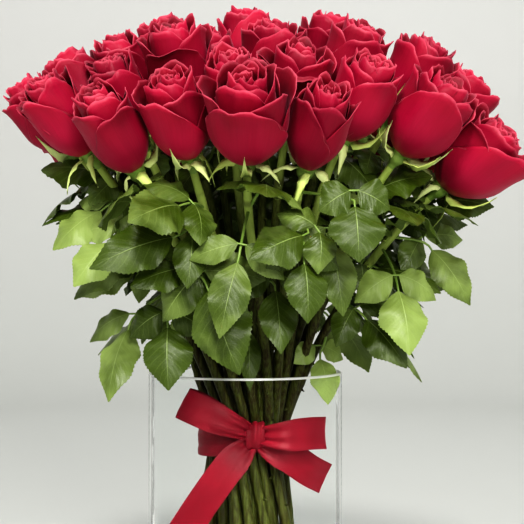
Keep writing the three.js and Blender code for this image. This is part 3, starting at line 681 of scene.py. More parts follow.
def blade_tree():
    """Thin blades, each from its start by its bend to its tip, folded along its rib and toothed."""
    take, give = new_group(
        "Blades", "Geometry", {"Geometry": "Mesh"}, Geometry="Points", Int="Columns, Rows",
        Float="Widest, Fullness, Teeth, Ripple, Thickness", Material="Face, Back")
    sheets, = placed(copies, Points=take["Points"], Columns=take["Columns"], Rows=take["Rows"])
    x, t, tone, half, fold = (read(name) for name in ("across", "along", "tone", "half", "fold"))
    start, bend, tip, side = (read(name, "FLOAT_VECTOR") for name in ("start", "bend", "tip", "side"))
    reach = x.act("ABSOLUTE")
    odd = (t * (take["Rows"] - 1)).act("ROUND").act("FLOORED_MODULO", 2)
    edge = reach ** 12 * (take["Teeth"] * 10).act("MINIMUM", 1)
    forward = t + odd * edge * 0.5 / take["Rows"] + reach * (t * math.pi).act("SINE") * take["Teeth"] * 0.6
    forward = forward.act("MINIMUM", 1)
    profile = (t ** take["Widest"] * math.pi).act("SINE").act("MAXIMUM", 0) ** take["Fullness"]
    width = half * profile * (1 - (1 - odd) * edge * take["Teeth"])
    rest = 1 - forward
    spine = start * (rest * rest) + bend * (rest * forward * 2) + tip * (forward * forward)
    ahead = ((bend - start) * rest + (tip - bend) * forward).act("NORMALIZE")
    face = side.act("CROSS_PRODUCT", ahead).act("NORMALIZE")
    wave = (forward * 17 + tone * 40 + x * 1.5).act("SINE") * x * x * take["Ripple"]
    place = spine + side * (x * width) + face * ((wave - reach ** 1.4 * fold) * width)
    bent = flow("GeometryNodeSetPosition", Geometry=sheets, Position=place)
    body, = placed(thicken, Sheet=bent, Thickness=take["Thickness"], Face=take["Face"], Back=take["Back"])
    feed(give["Mesh"], body)
    return board


def blade(start, bend, tip, side, half, fold, tone):
    """One leaflet or sepal: a curved rib, the way its width lies, half that width, its fold and tone."""
    return dict(start=start * MM, bend=bend * MM, tip=tip * MM, side=unit(side), half=half * MM, fold=fold,
                tone=tone)


def blades_mesh(name, blades):
    """A start mesh with a point for each blade, which only carries the blade's values."""
    values = {label: [blade[label] for blade in blades] for label in blades[0]}
    return points_mesh(name, np.zeros((len(blades), 3)), **values)


def sepals_of(rose):
    """Five sepals: one or two lie up along the bloom, and the others arch out and hang."""
    east, north = rose.sideways()
    top = rose.base - rose.lean * 0.3
    made = []
    for k in range(SEPALS):
        angle = 2 * math.pi * (k + 0.5 + 0.5 * (draw(rose.seed * 7 + k) - 0.5)) / SEPALS
        outward = east * math.cos(angle) + north * math.sin(angle)
        length = SEPAL_LENGTH * mix(0.8, 1.15, draw(rose.seed * 5 + k))
        start = top + outward * 5.5 - rose.lean * 1.5
        if draw(rose.seed * 17 + k) < SEPAL_UPRIGHT:
            bend = top + outward * rose.width * 0.47 - rose.lean * 3
            tip = top + outward * rose.width * 0.56 + rose.lean * length * 0.7
        else:
            hang = mix(0.25, 1.25, draw(rose.seed * 19 + k))
            bend = top + outward * (13 + 7 * draw(rose.seed + k * 3)) + rose.lean * (5 - 6 * hang)
            tip = top + outward * length * math.cos(hang) - rose.lean * length * math.sin(hang)
        side = np.cross(rose.lean, outward) + rose.lean * mix(-0.6, 0.6, draw(rose.seed * 23 + k))
        made.append(blade(start, bend, tip, side, SEPAL_HALF, SEPAL_FOLD, draw(rose.seed * 3 + k)))
    return made


def green_blade_material(name, dark, fresh, vein, shine):
    """A leaf's skin: a pale midrib, side veins that slant forward, and raised pads between them."""
    material = new_material(name, Specular_IOR_Level=0.36)
    place = object_place()
    patches, _ = placed(skin, Place=place, Patch_size=34, Mark_size=700)
    across, along = named("across").act("ABSOLUTE"), named("along")
    midrib = across.ease(0.006, 0.032, 1, 0) * along.ease(0.3, 1, 1, 0.3)
    wander = noise(place, 90, 1) * 0.06
    beat = ((along - across * 0.24 + wander) * 8).act("FRACT") - 0.5
    side_vein = beat.act("ABSOLUTE").ease(0.01, 0.1, 1, 0) * across.ease(0.5, 1, 1, 0.2)
    net = noise(place, 1100, 2).ease(0.4, 0.6)
    base = tint((named("tone") + patches * 0.4 - 0.2).ease(0.2, 0.9, 0, 0.85), dark, fresh)
    colour = tint(midrib * 0.45 + side_vein * 0.08 + net * 0.03, base, vein)
    pads = net * 0.2 - beat * beat * 2 - midrib * 0.6
    return painted(material, colour, shine + patches * 0.16, pads, 0.28, 0.0008)


def hip_material():
    material = new_material("rose_hip", Roughness=0.42)
    patches, marks = placed(skin, Place=object_place(), Patch_size=120, Mark_size=1500)
    colour = tint(patches * 0.7 + marks * 0.2, HIP_GREEN, HIP_PALE)
    return painted(material, colour, None, marks, 0.2, 0.0002)


hip_skin = hip_material()
rises, thick = zip(*HIP_LINE)
hip_runs = [([rose.base + rose.lean * rise for rise in rises], thick) for rose in roses]
green_piece(
    "rose_hips", stalks, lines_mesh("hip_lines", hip_runs), Sides=12, Step=1.5 * MM, Knuckle_spacing=1.0,
    Knuckle_swell=0.0, Prickle_spacing=0.1, Prickle_share=0.0, Seed=7, Material=hip_skin)

blades = blade_tree()
sepals = [sepal for rose in roses for sepal in sepals_of(rose)]
green_piece(
    "sepals", blades, blades_mesh("sepal_points", sepals), Columns=3, Rows=9, Widest=0.42, Fullness=0.9,
    Teeth=0.0, Ripple=0.25, Thickness=SEPAL_THICK,
    Face=green_blade_material("sepal_face", SEPAL_TOP, SEPAL_UNDER, SEPAL_UNDER, 0.45),
    Back=green_blade_material("sepal_back", SEPAL_TOP, SEPAL_UNDER, SEPAL_TOP, 0.5))


# The leaves: each is three toothed leaflets on one thin stalk that grows from a stem. The front ones stand
# where the photograph shows them, and three rows of them go round the rest of the bunch under the blooms.
LEAF_LENGTH = 62
LEAF_WIDTH = 40
LEAF_THICK = 0.35 * MM
LEAF_SHARP = 50
LEAF_DARK = (0.048, 0.078, 0.005, 1)
LEAF_FRESH = (0.28, 0.37, 0.105, 1)
LEAF_VEIN = (0.40, 0.51, 0.19, 1)
LEAF_BACK_DARK = (0.10, 0.15, 0.025, 1)
LEAF_BACK_FRESH = (0.20, 0.27, 0.065, 1)
LEAF_BACK_VEIN = (0.36, 0.44, 0.15, 1)
TO_VIEWER = np.array([0, -1, 0.25])
FRONT_TURN = 0.65
ROW_TURN = 0.45
SHORT_PLACES = (0.88, 0.68, 0.78)
SHORT_LENGTH = 34
# How far the short leaves under the blooms are darkened: painted shade
SHORT_LEAF_PAINTED_SHADE = 0.25
STEM_PARTS = 20
LOBE_REACH = 0.62
LOBE_AHEAD = 0.42
LOBE_ASIDE = 0.9
STALK_SPOTS = 7

# The leaves at the front: where each forks, where its point is, and how wide it is
FRONT_LEAVES = [
    ((74, -150, 373), (76, -160, 332), 36), ((44, -142, 352), (5, -160, 334), 32),
    ((-2, -138, 338), (-15, -150, 282), 27), ((41, -140, 336), (43, -150, 292), 28),
    ((-26, -120, 320), (-2, -134, 257), 40), ((-54, -88, 292), (-52, -104, 244), 34),
    ((-42, -122, 352), (-102, -140, 328), 34), ((-36, -108, 330), (-76, -130, 316), 26),
    ((-100, -70, 374), (-136, -84, 342), 32), ((-92, -92, 350), (-118, -104, 316), 30),
    ((-84, -54, 290), (-96, -84, 234), 30), ((110, -78, 318), (116, -100, 268), 34),
    ((86, -64, 296), (116, -84, 258), 30), ((138, -34, 348), (168, -44, 302), 30),
    ((140, -30, 382), (188, -34, 376), 30), ((60, -116, 350), (68, -126, 296), 26),
    ((22, -98, 318), (26, -118, 270), 26), ((57, -14, 264), (63, -22, 226), 24),
    ((4, -44, 286), (4, -58, 240), 16),
]

# A few more short leaves where the photograph shows dark leaves and no gap
GAP_LEAVES = [((-98, -62, 398), (-150, -54, 402), 34), ((92, -78, 384), (134, -88, 394), 32),
              ((96, -70, 360), (128, -84, 366), 30)]

# The rows round the rest: how many leaves, the row's radius and height, how far the points drop, and its
# angles. A leaf that would cross another is shifted by some degrees, and those at the left are tucked in.
LEAF_ROWS = [(13, 128, 376, 14, -20, 325), (12, 100, 338, 30, -35, 215), (7, 84, 300, 40, -25, 205)]
LEAF_SHIFTS = (0, 6, -6, 11, -11, 16, -16)
LEFT_TUCK = 0.24


class Leaf:
    """One compound leaf: where its stalk grows from, where it forks, and how its leaflets lie."""

    def __init__(self, start, tip, width, seed):
        self.start, self.tip = np.array(start, float), np.array(tip, float)
        self.width, self.seed = width, seed
        self.length = np.linalg.norm(self.tip - self.start)
        self.ahead = unit(self.tip - self.start)
        self.face(np.array([*unit(self.start[:2]), 0.75]))
        roll = mix(-0.5, 0.5, draw(seed))
        self.face(self.out * math.cos(roll) + self.side * math.sin(roll))
        self.fold = mix(0.1, 0.35, draw(seed + 3))
        self.root = self.nearest_stem()
        self.fork = self.root * 0.45 + self.start * 0.55 + self.out * 2

    def face(self, out):
        """Rolls the leaf about its own length, so that its face looks out that way."""
        self.out = unit(out - self.ahead * out.dot(self.ahead))
        self.side = np.cross(self.ahead, self.out)

    def nearest_stem(self):
        """The spot on a stem, well behind the fork, that is nearest to where the stalk wants to start."""
        wanted = self.start - self.ahead * 22 - np.array([0, 0, 14])
        behind = STEM_SPOTS[(self.start - STEM_SPOTS) @ self.ahead > 10]
        return behind[np.argmin(np.linalg.norm(behind - wanted, axis=1))]

    def spot(self, along, across):
        """A point of the leaf's own bent surface."""
        arch = math.sin(math.pi * max(along, 0)) * 0.09 * self.length - abs(across) * self.fold
        return self.start + self.ahead * along * self.length + self.side * across + self.out * arch

    def lobe(self, hand, out, up):
        """A point of a side leaflet, by how far out along it and how far up across it."""
        ahead, aside = out * LOBE_AHEAD + up * LOBE_ASIDE, out * LOBE_ASIDE - up * LOBE_AHEAD
        return self.spot(ahead / self.length, hand * aside)

    def outline(self):
        """The leaf as a few flat faces, to see where it would cross another."""
        points = [self.root, self.fork, self.spot(0, 0), self.spot(0.38, 0), self.spot(0.72, 0), self.tip]
        faces = []
        reach, width = LOBE_REACH * self.length, self.width
        for hand in (-1, 1):
            a, b, c, d, e, f, g, h, i = range(len(points), len(points) + 9)
            points += [self.lobe(hand, reach * out, width * up)
                       for out, up in ((1, 0), (0.5, 0), (0.5, -0.34), (0.52, 0.34))]
            points += [self.spot(along, hand * across)
                       for along, across in ((0.14, 1.2), (0.3, 0.42 * width), (0.46, 0.45 * width),
                                             (0.56, 0.5 * width), (0.8, 0.33 * width))]
            faces += [(1, c, b), (c, a, b), (2, b, d), (b, a, d), (1, b, 2), (2, e, 3)]
            faces += [(e, f, 3), (f, g, 3), (g, h, 3), (h, 4, 3), (h, i, 4), (i, 5, 4)]
        return BVHTree.FromPolygons([Vector(p) for p in points], faces)

    def leaflets(self):
        """The end leaflet and the two side leaflets."""
        tone = draw(self.seed + 40) ** 1.3
        middle = (self.start + self.tip) / 2 + self.out * self.length * 0.18
        first = self.start + self.ahead * self.length * 0.1
        made = [blade(first, middle, self.tip, self.side, self.width * 0.54, self.fold, tone)]
        tone = tone * 0.9 + 0.1 * draw(self.seed)
        reach = self.length * LOBE_REACH
        for hand in (-1, 1):
            run = self.ahead * LOBE_AHEAD + self.side * hand * LOBE_ASIDE
            across = self.side * LOBE_AHEAD - self.ahead * hand * LOBE_ASIDE
            start = self.start - self.ahead * 7 + self.side * hand * 2.5
            tip = self.lobe(hand, reach, 0) - self.out * 3 - self.ahead * 5
            bend = start + run * reach * 0.5 + self.out * reach * 0.14
            made.append(blade(start, bend, tip, across, self.width * 0.38, self.fold, tone))
        return made

    def stalks(self):
        """The lines of the stalk, and of the short ones that the side leaflets hang by."""
        bend = self.fork * 2 - (self.root + self.start) / 2
        main = [self.root * (1 - t) ** 2 + bend * 2 * t * (1 - t) + self.start * t * t
                for t in np.linspace(0, 1, STALK_SPOTS)]
        main.append(self.start + self.ahead * self.length * 0.12)
        fork = self.start - self.ahead * 7
        sides = [([fork, fork + self.side * hand * 3.5], (0.8, 0.7)) for hand in (-1, 1)]
        return [(main, [*np.linspace(1.3, 0.9, STALK_SPOTS), 0.7]), *sides]


def row_leaf(row, k, seed, attempt):
    count, radius, height, drop, start, end = row
    angle = math.radians(mix(start, end, k / count) + 12 * draw(seed) + LEAF_SHIFTS[attempt])
    swing = angle + math.radians(50 * (draw(seed + 400) - 0.5))
    out = (radius + 10 * draw(seed + 200)) * (1 - LEFT_TUCK * max(0, -math.cos(angle)) ** 2)
    fork = round_about(out, angle, height + 16 * (draw(seed + 300) - 0.5) - attempt * 2)
    run = round_about(LEAF_LENGTH * 0.85, swing, -drop * mix(0.6, 1.4, draw(seed + 500)))
    return Leaf(fork, fork + run, LEAF_WIDTH * mix(0.75, 1, draw(seed + 600)), seed)


def all_leaves():
    """The front leaves and the rows. One of a row that would cross another is moved, or left out."""
    leaves = [Leaf(*row, seed) for seed, row in enumerate(FRONT_LEAVES)]
    shapes = [leaf.outline() for leaf in leaves]
    seed = len(leaves)
    for row in LEAF_ROWS:
        for k in range(row[0]):
            seed += 1
            for attempt in range(len(LEAF_SHIFTS)):
                leaf = row_leaf(row, k, seed, attempt)
                shape = leaf.outline()
                if not any(shape.overlap(other) for other in shapes):
                    leaves.append(leaf)
                    shapes.append(shape)
                    break
    return leaves


def upper_leaves():
    """The short leaves just under the blooms, up to three on a stem, which fill the bunch. Their tone is
    later turned down, as painted shade.
    """
    made = []
    for rose in roses:
        for k, t in enumerate(SHORT_PLACES):
            seed = rose.seed * 3 + k + 900
            at = bezier(rose.curve, t)
            if rose.at[1] < -95 or k and at[1] < -30:
                continue
            away = math.atan2(at[1], at[0]) + 1.6 * (draw(seed) - 0.5) + (0.5 if k else -0.3)
            fork = at + round_about(10, away, 4.0)
            tip = fork + round_about(SHORT_LENGTH, away, -mix(14, 36, draw(seed + 5)))
            made.append(Leaf(fork, tip, mix(26, 34, draw(seed + 9)), seed))
    return made + [Leaf(*row, 990 + k) for k, row in enumerate(GAP_LEAVES)]


STEM_SPOTS = np.array(
    [bezier(rose.curve, k / STEM_PARTS) for rose in roses for k in range(1, STEM_PARTS)])
leaves = all_leaves()
for k, leaf in enumerate(leaves):
    share = FRONT_TURN if k < len(FRONT_LEAVES) else ROW_TURN * abs(leaf.ahead[0])
    leaf.face(mix(leaf.out, TO_VIEWER, share))
short_leaves = upper_leaves()
leaflets = [leaflet for leaf in leaves for leaflet in leaf.leaflets()]
short_leaflets = [leaflet for leaf in short_leaves for leaflet in leaf.leaflets()]
# The short leaves inside the bunch are darkened: painted shade under the blooms.
for leaflet in short_leaflets:
    leaflet["tone"] *= SHORT_LEAF_PAINTED_SHADE
skins = {
    "Face": green_blade_material("leaf_face", LEAF_DARK, LEAF_FRESH, LEAF_VEIN, 0.34),
    "Back": green_blade_material("leaf_back", LEAF_BACK_DARK, LEAF_BACK_FRESH, LEAF_BACK_VEIN, 0.52),
}
green_piece(
    "rose_leaves", blades, blades_mesh("leaf_points", leaflets), LEAF_SHARP, Columns=7, Rows=41,
    Widest=0.76, Fullness=1.0, Teeth=0.07, Ripple=0.13, Thickness=LEAF_THICK, **skins)
green_piece(
    "upper_leaves", blades, blades_mesh("short_leaf_points", short_leaflets), LEAF_SHARP, Columns=5,
    Rows=21, Widest=0.78, Fullness=0.95, Teeth=0.06, Ripple=0.18, Thickness=LEAF_THICK, **skins)
stalk_lines = lines_mesh("stalk_lines", [run for leaf in leaves + short_leaves for run in leaf.stalks()])
green_piece(
    "leaf_stalks", stalks, stalk_lines, Sides=6, Step=5 * MM, Knuckle_spacing=1.0, Knuckle_swell=0.0,
    Prickle_spacing=11 * MM, Prickle_share=0.3, Seed=9, Material=hip_skin)


# The blooms: half-open red roses. Each is 19 velvety petals in a spiral, the outer ones broad, cupped and
# rolled back at the rim, and the inner ones wrapped tight into a pointed bud.
PETALS = 19
OUTER_PETALS = 8
PETAL_THICK = 0.4 * MM
GOLDEN_TURN = math.pi * (3 - math.sqrt(5))
FULLNESS = 1.02
PETAL_RED = (0.40, 0.0080, 0.055, 1)
PETAL_WARM = (0.41, 0.009, 0.044, 1)
PETAL_INSIDE_PAINTED_SHADE = (0.12, 0.0010, 0.010, 1)
PETAL_LIGHT = (0.38, 0.010, 0.040, 1)
PETAL_DEEP = (0.05, 0.0006, 0.005, 1)
PETAL_RIM_PAINTED_HIGHLIGHT = (0.66, 0.12, 0.18, 1)
PETAL_SHEEN = (1.0, 0.30, 0.42, 1)
PETAL_BASE = (0.30, 0.07, 0.02, 1)


def join_place(x, y, z):
    return flow("ShaderNodeCombineXYZ", x, y, z)


def petal_group():
    """Some of a bloom's petals, cupped round its axis, each one turned on from the last in a spiral."""
    take, give = new_group(
        "Rose petals", "Geometry", {"Geometry": "Mesh"}, Int="First, Count, Columns, Rows, Seed",
        Float="Half width, Height, Open", Material="Outside, Inside")
    seed = take["Seed"]
    spots = flow("GeometryNodePoints", Count=take["Count"])
    spots = keep(spots, "petal", flow("GeometryNodeInputIndex") + take["First"])
    sheets, = placed(copies, Points=spots, Columns=take["Columns"], Rows=take["Rows"])
    u, v, petal = (read(name) for name in ("across", "along", "petal"))
    luck = chance(0, 1, petal, seed)
    sway = chance(-1, 1, petal, seed + 50)
    side = u.act("ABSOLUTE")
    depth = petal / (PETALS - 1)
    outer = depth.ease(0, 0.55, 1, 0)
    # Up along the petal: its top is round, one side higher than the other, with a small point in its middle
    point = (u * u * -14).act("EXPONENT") * mix(0.01, 0.05, outer)
    top = 1 - side ** 3 * mix(0.14, 0.32, outer) + point + u * sway * mix(0.05, 0.09, outer)
    start = depth.ease(0.35, 0.75, 0, 0.4)
    s = mix(start, top, v)
    lip = ((s - 0.78) * 4.5).act("MAXIMUM", 0).act("MINIMUM", 1.25)
    # How far out: a goblet, drawn in at its neck, with its corners rolled back at the rim
    rise = (s * (math.pi / 1.12)).act("MINIMUM", math.pi / 2).act("SINE")
    belly = 0.92 - depth ** 1.2 * 0.77
    neck = mix(take["Open"] * 0.26 + 0.92, 0.80, depth.ease(0, 0.5))
    cup = belly * mix(0.27, 1, rise) * mix(1, neck, s.ease(0.42, 1))
    wing = side ** 3 * 0.13 + luck ** 3 * take["Open"] * 0.24 + 0.02
    roll = mix(0.05, 1, outer) * wing * (luck * 0.8 + 0.5) * lip ** 1.5
    edge = outer * 0.3 * (side - 0.6).act("MAXIMUM", 0) ** 2 * s * s
    spread = outer * take["Open"] * luck * 0.08 * s * s
    tuck = u * mix(0.025, 0.12, depth) * (0.3 + s * 0.7)
    span = mix(1.45, 2.1, depth) * (rise * 0.25 + 0.75) * (1 - v ** 6 * 0.3)
    angle = petal * GOLDEN_TURN + sway * 0.2 + u * span
    across, deep = angle.act("COSINE"), angle.act("SINE")
    shared = noise(join_place(across, deep, s * 1.2 + seed * 3.1), 1.1, 1) - 0.5
    own = noise(join_place(u * 1.3, s * 1.3, petal * 7.3 + seed * 3.1), 1.6, 1) - 0.5
    frill = noise(join_place(u * 6, s * 3, petal * 3.7 + seed), 1.8, 2) - 0.5
    grain = shared * 0.34 * (0.35 + s * 0.65) + own * (0.09 + lip * 0.2) + frill * lip * lip * 0.13
    radius = cup + roll + edge + spread + tuck + grain * (0.25 + belly * 0.75)
    # How high: the inner petals stand above the outer ones, and a rolled rim droops
    crown = 0.87 + depth.ease(0, 0.45, 0, 0.12) - depth.ease(0.7, 1, 0, 0.03) + sway * 0.035
    ripple = (u * 7 + petal * 2.1).act("SINE") * lip * 0.022
    height = crown * s ** 1.2 - roll * 0.45 * lip + ripple + frill * lip * 0.06
    out = radius * take["Half width"]
    place = join_place(out * across, out * deep, height * take["Height"])
    shaped = keep(flow("GeometryNodeSetPosition", Geometry=sheets, Position=place), "tone", luck)
    body, = placed(thicken, Sheet=shaped, Thickness=PETAL_THICK, Face=take["Outside"], Back=take["Inside"])
    feed(give["Mesh"], body)
    return board


def bloom_tree():
    """A whole bloom: its outer petals finely made, and its inner ones, hardly seen, with fewer faces."""
    petals = petal_group()
    take, give = new_group(
        "Rose bloom", "Geometry", {"Geometry": "Mesh"}, Geometry="Ground", Int="Seed",
        Float="Half width, Height, Open", Material="Outside, Inside")
    take.pop("Ground")
    outer, = placed(petals, First=0, Count=OUTER_PETALS, Columns=19, Rows=13, **take)
    inner, = placed(petals, First=OUTER_PETALS, Count=PETALS - OUTER_PETALS, Columns=15, Rows=7, **take)
    feed(give["Mesh"], join(outer, inner))
    return board


def petal_material(name, low, high, shine):
    """Velvet red, deeper low down as painted shade in the cup, lighter to a thin pink rim of painted
    highlight, with fine veins that run up the petal.
    """
    material = new_material(
        name, Specular_IOR_Level=0.2, Sheen_Weight=0.15, Sheen_Roughness=0.35, Sheen_Tint=PETAL_SHEEN)
    place = object_place()
    u, v, petal, luck = (named(label) for label in ("across", "along", "petal", "tone"))
    fan = u * 34 / (v * 0.6 + 0.5)
    streaks = noise(join_place(fan, v * 2.2, petal * 5.3 + luck * 40), 1, 3).ease(0.25, 0.75)
    clouds = noise(place, 55, 3).ease(0.3, 0.7)
    wide = noise(place, 16, 1).ease(0.35, 0.65)
    # Darker low on the petal and lighter up to its top; on the inside this is painted shade deep in the cup.
    red = tint(v.ease(0.2, 1.0) * (clouds * 0.45 + 0.55), low, high)
    red = tint(streaks * 0.08 + luck * 0.36 + wide * 0.24 - 0.06, red, PETAL_DEEP)
    red = tint(v.ease(0.0, 0.2, 0.6, 0), red, PETAL_BASE)
    # A light pink line along the top rim and the upper side edges: a painted highlight where the rim rolls.
    rim = v.ease(0.96, 1.0).act("MAXIMUM", u.act("ABSOLUTE").ease(0.97, 1.0) * v.ease(0.55, 0.95))
    red = tint(rim * (clouds * 0.5 + 0.2), red, PETAL_RIM_PAINTED_HIGHLIGHT)
    return painted(material, red, shine + clouds * 0.16, streaks * 0.6 + clouds, 0.14, 0.0006)


bloom = bloom_tree()
petal_outside = petal_material("petal_outside", PETAL_RED, PETAL_WARM, 0.42)
# The inside's low colour is much darker: painted shade deep in the bloom.
petal_inside = petal_material("petal_inside", PETAL_INSIDE_PAINTED_SHADE, PETAL_LIGHT, 0.5)
ground = points_mesh("bloom_ground", [np.zeros(3)])
for rose in roses:
    mesh = grown(
        f"rose_bloom_{rose.seed:02d}", bloom, ground, Half_width=rose.width / 2 * FULLNESS * MM,
        Height=rose.height * FULLNESS * MM, Open=rose.open, Seed=rose.seed * 10, Outside=petal_outside,
        Inside=petal_inside)
    east, north = rose.sideways()
    outermost = math.atan2(-north[1], -east[1]) + mix(-0.75, 0.75, draw(rose.seed + 300))
    axes = Matrix(np.column_stack([east, north, rose.lean]).tolist()).to_4x4()
    mesh.transform(Matrix.Translation(rose.base * MM) @ axes @ Matrix.Rotation(outermost, 4, "Z"))
    new_piece(mesh.name, mesh, "petals", f"bloom_{rose.seed:02d}")


# The ribbon: crimson double-faced satin, 24 mm wide, wound round the stems and tied at the front in a knot
# with two loops and two tails. It is drawn together in pleats where it goes into the knot.
RIBBON_HALF = 12
RIBBON_THICK = 0.5
RIBBON_COLUMNS = 17
RIBBON_SHARP = 60
BAND_MIDDLE = 197.5
BAND_HALF = 10.5
BAND_SLACK = 1.2
BAND_STEPS = 96
BAND_GATHER = (math.radians(283), 0.35)
RUN_GATHER = 0.26
RUN_STEPS = 9
KNOT_X = 8
KNOT_Z = 205
KNOT_WIDTH = 14
KNOT_TALL = 20
KNOT_DEEP = 12
KNOT_STEPS = 32
RIBBON_RED = (0.205, 0.004, 0.017, 1)
RIBBON_DEEP = (0.10, 0.0013, 0.007, 1)

# Each free run of the ribbon: its line in x, how far forward it comes, and z, how its width lies, and
# whether it comes back to the knot
RIBBON_RUNS = [
    ([(8, 3, 205), (-14, -9, 216), (-36, -8, 226), (-46, -1, 230), (-36, 6, 226), (-14, 0, 215),
      (8, 3, 206)], (0.46, 0, 0.89), True),
    ([(8, 3, 205), (28, -8, 206), (48, 0, 207), (60, 12, 206), (50, 14, 205), (30, 3, 205),
      (8, 4, 205)], (0, 0, 1), True),
    ([(6, 3, 201), (-12, -3, 182), (-30, -1, 157), (-46, 6, 132)], (0.81, 0, -0.58), False),
    ([(9, 4, 201), (32, 3, 190), (48, 13, 178), (61, 29, 169)], (0.3, 0, 0.95), False),
]


def stem_reach(height):
    """How far the bundle of stems reaches from its axis at a height near the tie."""
    runs = [np.array(stem_run(rose)[0]).T for rose in roses]
    return max(math.hypot(np.interp(height, z, x), np.interp(height, z, y)) for x, y, z in runs) + STEM_TIE


def smooth_run(points, steps):
    """Points on a smooth line through the given ones."""
    points = np.array(points, float)
    ends = np.vstack([points[0] * 2 - points[1], points, points[-1] * 2 - points[-2]])
    made = []
    for a, b, c, d in zip(ends, ends[1:], ends[2:], ends[3:]):
        for t in np.arange(steps) / steps:
            made.append(b + (c - a) * t / 2 + (a - b * 2.5 + c * 2 - d * 0.5) * t * t
                        + (b * 1.5 - a * 0.5 - c * 1.5 + d * 0.5) * t ** 3)
    return np.array(made + [points[-1]])


class Ribbon:
    """The sheets of the ribbon as they are laid, each a thin closed strip."""

    def __init__(self):
        self.points, self.faces, self.across, self.along = [], [], [], []
        self.length = 0

    def lay(self, rows, closed=False):
        """Lays a strip from its rows of points. Each row goes back along the under side, whose faces start
        one corner on, so that they split as the upper ones do."""
        rows = np.array(rows)
        count, wide = rows.shape[:2]
        if closed:
            before, after = np.roll(rows, 1, axis=0), np.roll(rows, -1, axis=0)
        else:
            before, after = np.concatenate([rows[:1], rows[:-1]]), np.concatenate([rows[1:], rows[-1:]])
        lift = unit(np.cross(np.gradient(rows, axis=1), after - before)) * RIBBON_THICK / 2
        middle = rows[:, wide // 2]
        run = np.linalg.norm(np.diff(middle, axis=0), axis=1)
        distance = self.length + np.concatenate([[0], np.cumsum(run)])
        self.length = distance[-1] + (np.linalg.norm(middle[0] - middle[-1]) if closed else 0)
        first, size = len(self.points), wide * 2
        breadth = np.linspace(-1, 1, wide)
        self.points += list(np.concatenate([rows + lift, (rows - lift)[:, ::-1]], axis=1).reshape(-1, 3))
        self.across += list(np.tile(np.concatenate([breadth, breadth[::-1]]), count))
        self.along += list(np.repeat(distance, size))
        for i in range(count if closed else count - 1):
            near, far = first + i * size, first + (i + 1) % count * size
            for j in range(size):
                k = (j + 1) % size
                face = (near + j, near + k, far + k, far + j)
                self.faces.append(face if j < wide else face[1:] + face[:1])
        if not closed:
            last = first + (count - 1) * size
            for j in range(wide - 1):
                under = size - 1 - j
                self.faces.append((first + j, first + under, first + under - 1, first + j + 1))
                self.faces.append((last + j, last + j + 1, last + under - 1, last + under))

    def mesh(self, name, material):
        points = [tuple(p * MM) for p in self.points]
        mesh = smooth_mesh(name, points, self.faces, material, RIBBON_SHARP)
        return mark(mesh, across=self.across, along=self.along)


def ribbon_material():
    """Satin: smooth and glossy along its threads, with a fine rib across and a bound edge."""
    material = new_material("crimson_satin", Specular_IOR_Level=0.22)
    across, along = named("across"), named("along")
    threads = noise(join_place(across * 60, along * 0.12, 0), 1, 2).ease(0.35, 0.65)
    rib = (along * 9).act("SINE") * 0.5 + 0.5
    edge = across.act("ABSOLUTE").ease(0.93, 0.97)
    shade = (threads * 0.35 + noise(object_place(), 45) * 0.4 - 0.1 + edge * 0.3).act("MAXIMUM", 0)
    colour = tint(shade, RIBBON_RED, RIBBON_DEEP)
    return painted(material, colour, threads.ease(0, 1, 0.4, 0.55), rib * 0.4 + threads, 0.12, 0.0002)


def gather(t, both_ends):
    """How far the ribbon is drawn together along a run: fully at the knot, not at all away from it."""
    gap = min(t, 1 - t) if both_ends else t
    return max(0, 1 - gap / RUN_GATHER) ** 1.5


band_radius = max(stem_reach(BAND_MIDDLE + s * BAND_HALF) for s in (-1, 0, 1)) + BAND_SLACK
knot_front = -band_radius - KNOT_DEEP / 2
ribbon = Ribbon()
breadth = np.linspace(-1, 1, RIBBON_COLUMNS)

band = []
for angle in full_turn(BAND_STEPS):
    drawn = math.exp(-((angle - BAND_GATHER[0]) / BAND_GATHER[1]) ** 2)
    folds = 0.35 * np.sin(breadth * 6 + 2 * math.sin(angle * 2)) + 0.25 * np.sin(breadth * 11 - angle * 3)
    radius = band_radius + 0.4 + folds * (0.6 + drawn)
    middle = BAND_MIDDLE + drawn * 2 + 0.8 * math.sin(angle * 3 + 1)
    height = middle + breadth * BAND_HALF * (1 - 0.25 * drawn)
    band.append(np.column_stack([radius * math.cos(angle), radius * math.sin(angle), height]))
ribbon.lay(band, closed=True)

for line, across, comes_back in RIBBON_RUNS:
    run = smooth_run([(x, knot_front + depth - 3, z) for x, depth, z in line], RUN_STEPS)
    ahead = unit(np.gradient(run, axis=0))
    side = unit(np.array(across) - ahead * (ahead @ np.array(across))[:, None])
    face = np.cross(ahead, side)
    rows = []
    for k, t in enumerate(np.linspace(0, 1, len(run))):
        drawn = gather(t, comes_back)
        width = RIBBON_HALF * (1 - 0.6 * drawn)
        pleat = (0.08 + 1.9 * drawn) * np.cos(breadth * math.pi * 2.5 + k * 0.05) + 0.5 * breadth ** 2
        rows.append(run[k] + np.outer(breadth * width, side[k]) + np.outer(pleat, face[k]))
    ribbon.lay(rows)

knot = []
for angle in full_turn(KNOT_STEPS):
    swell = 1 - 0.22 * breadth ** 4
    crease = 0.7 * np.cos(breadth * math.pi * 2.2 + 0.6 * math.sin(angle))
    depth = (KNOT_DEEP / 2 + crease) * swell * math.cos(angle)
    rise = (KNOT_TALL / 2 + crease) * swell * math.sin(angle) + breadth * 1.2
    knot.append(np.column_stack([KNOT_X + breadth * KNOT_WIDTH / 2, knot_front + depth, KNOT_Z + rise]))
ribbon.lay(knot[::-1], closed=True)

satin = new_piece("satin_ribbon", ribbon.mesh("satin_ribbon", ribbon_material()), "ribbon", "ribbon")


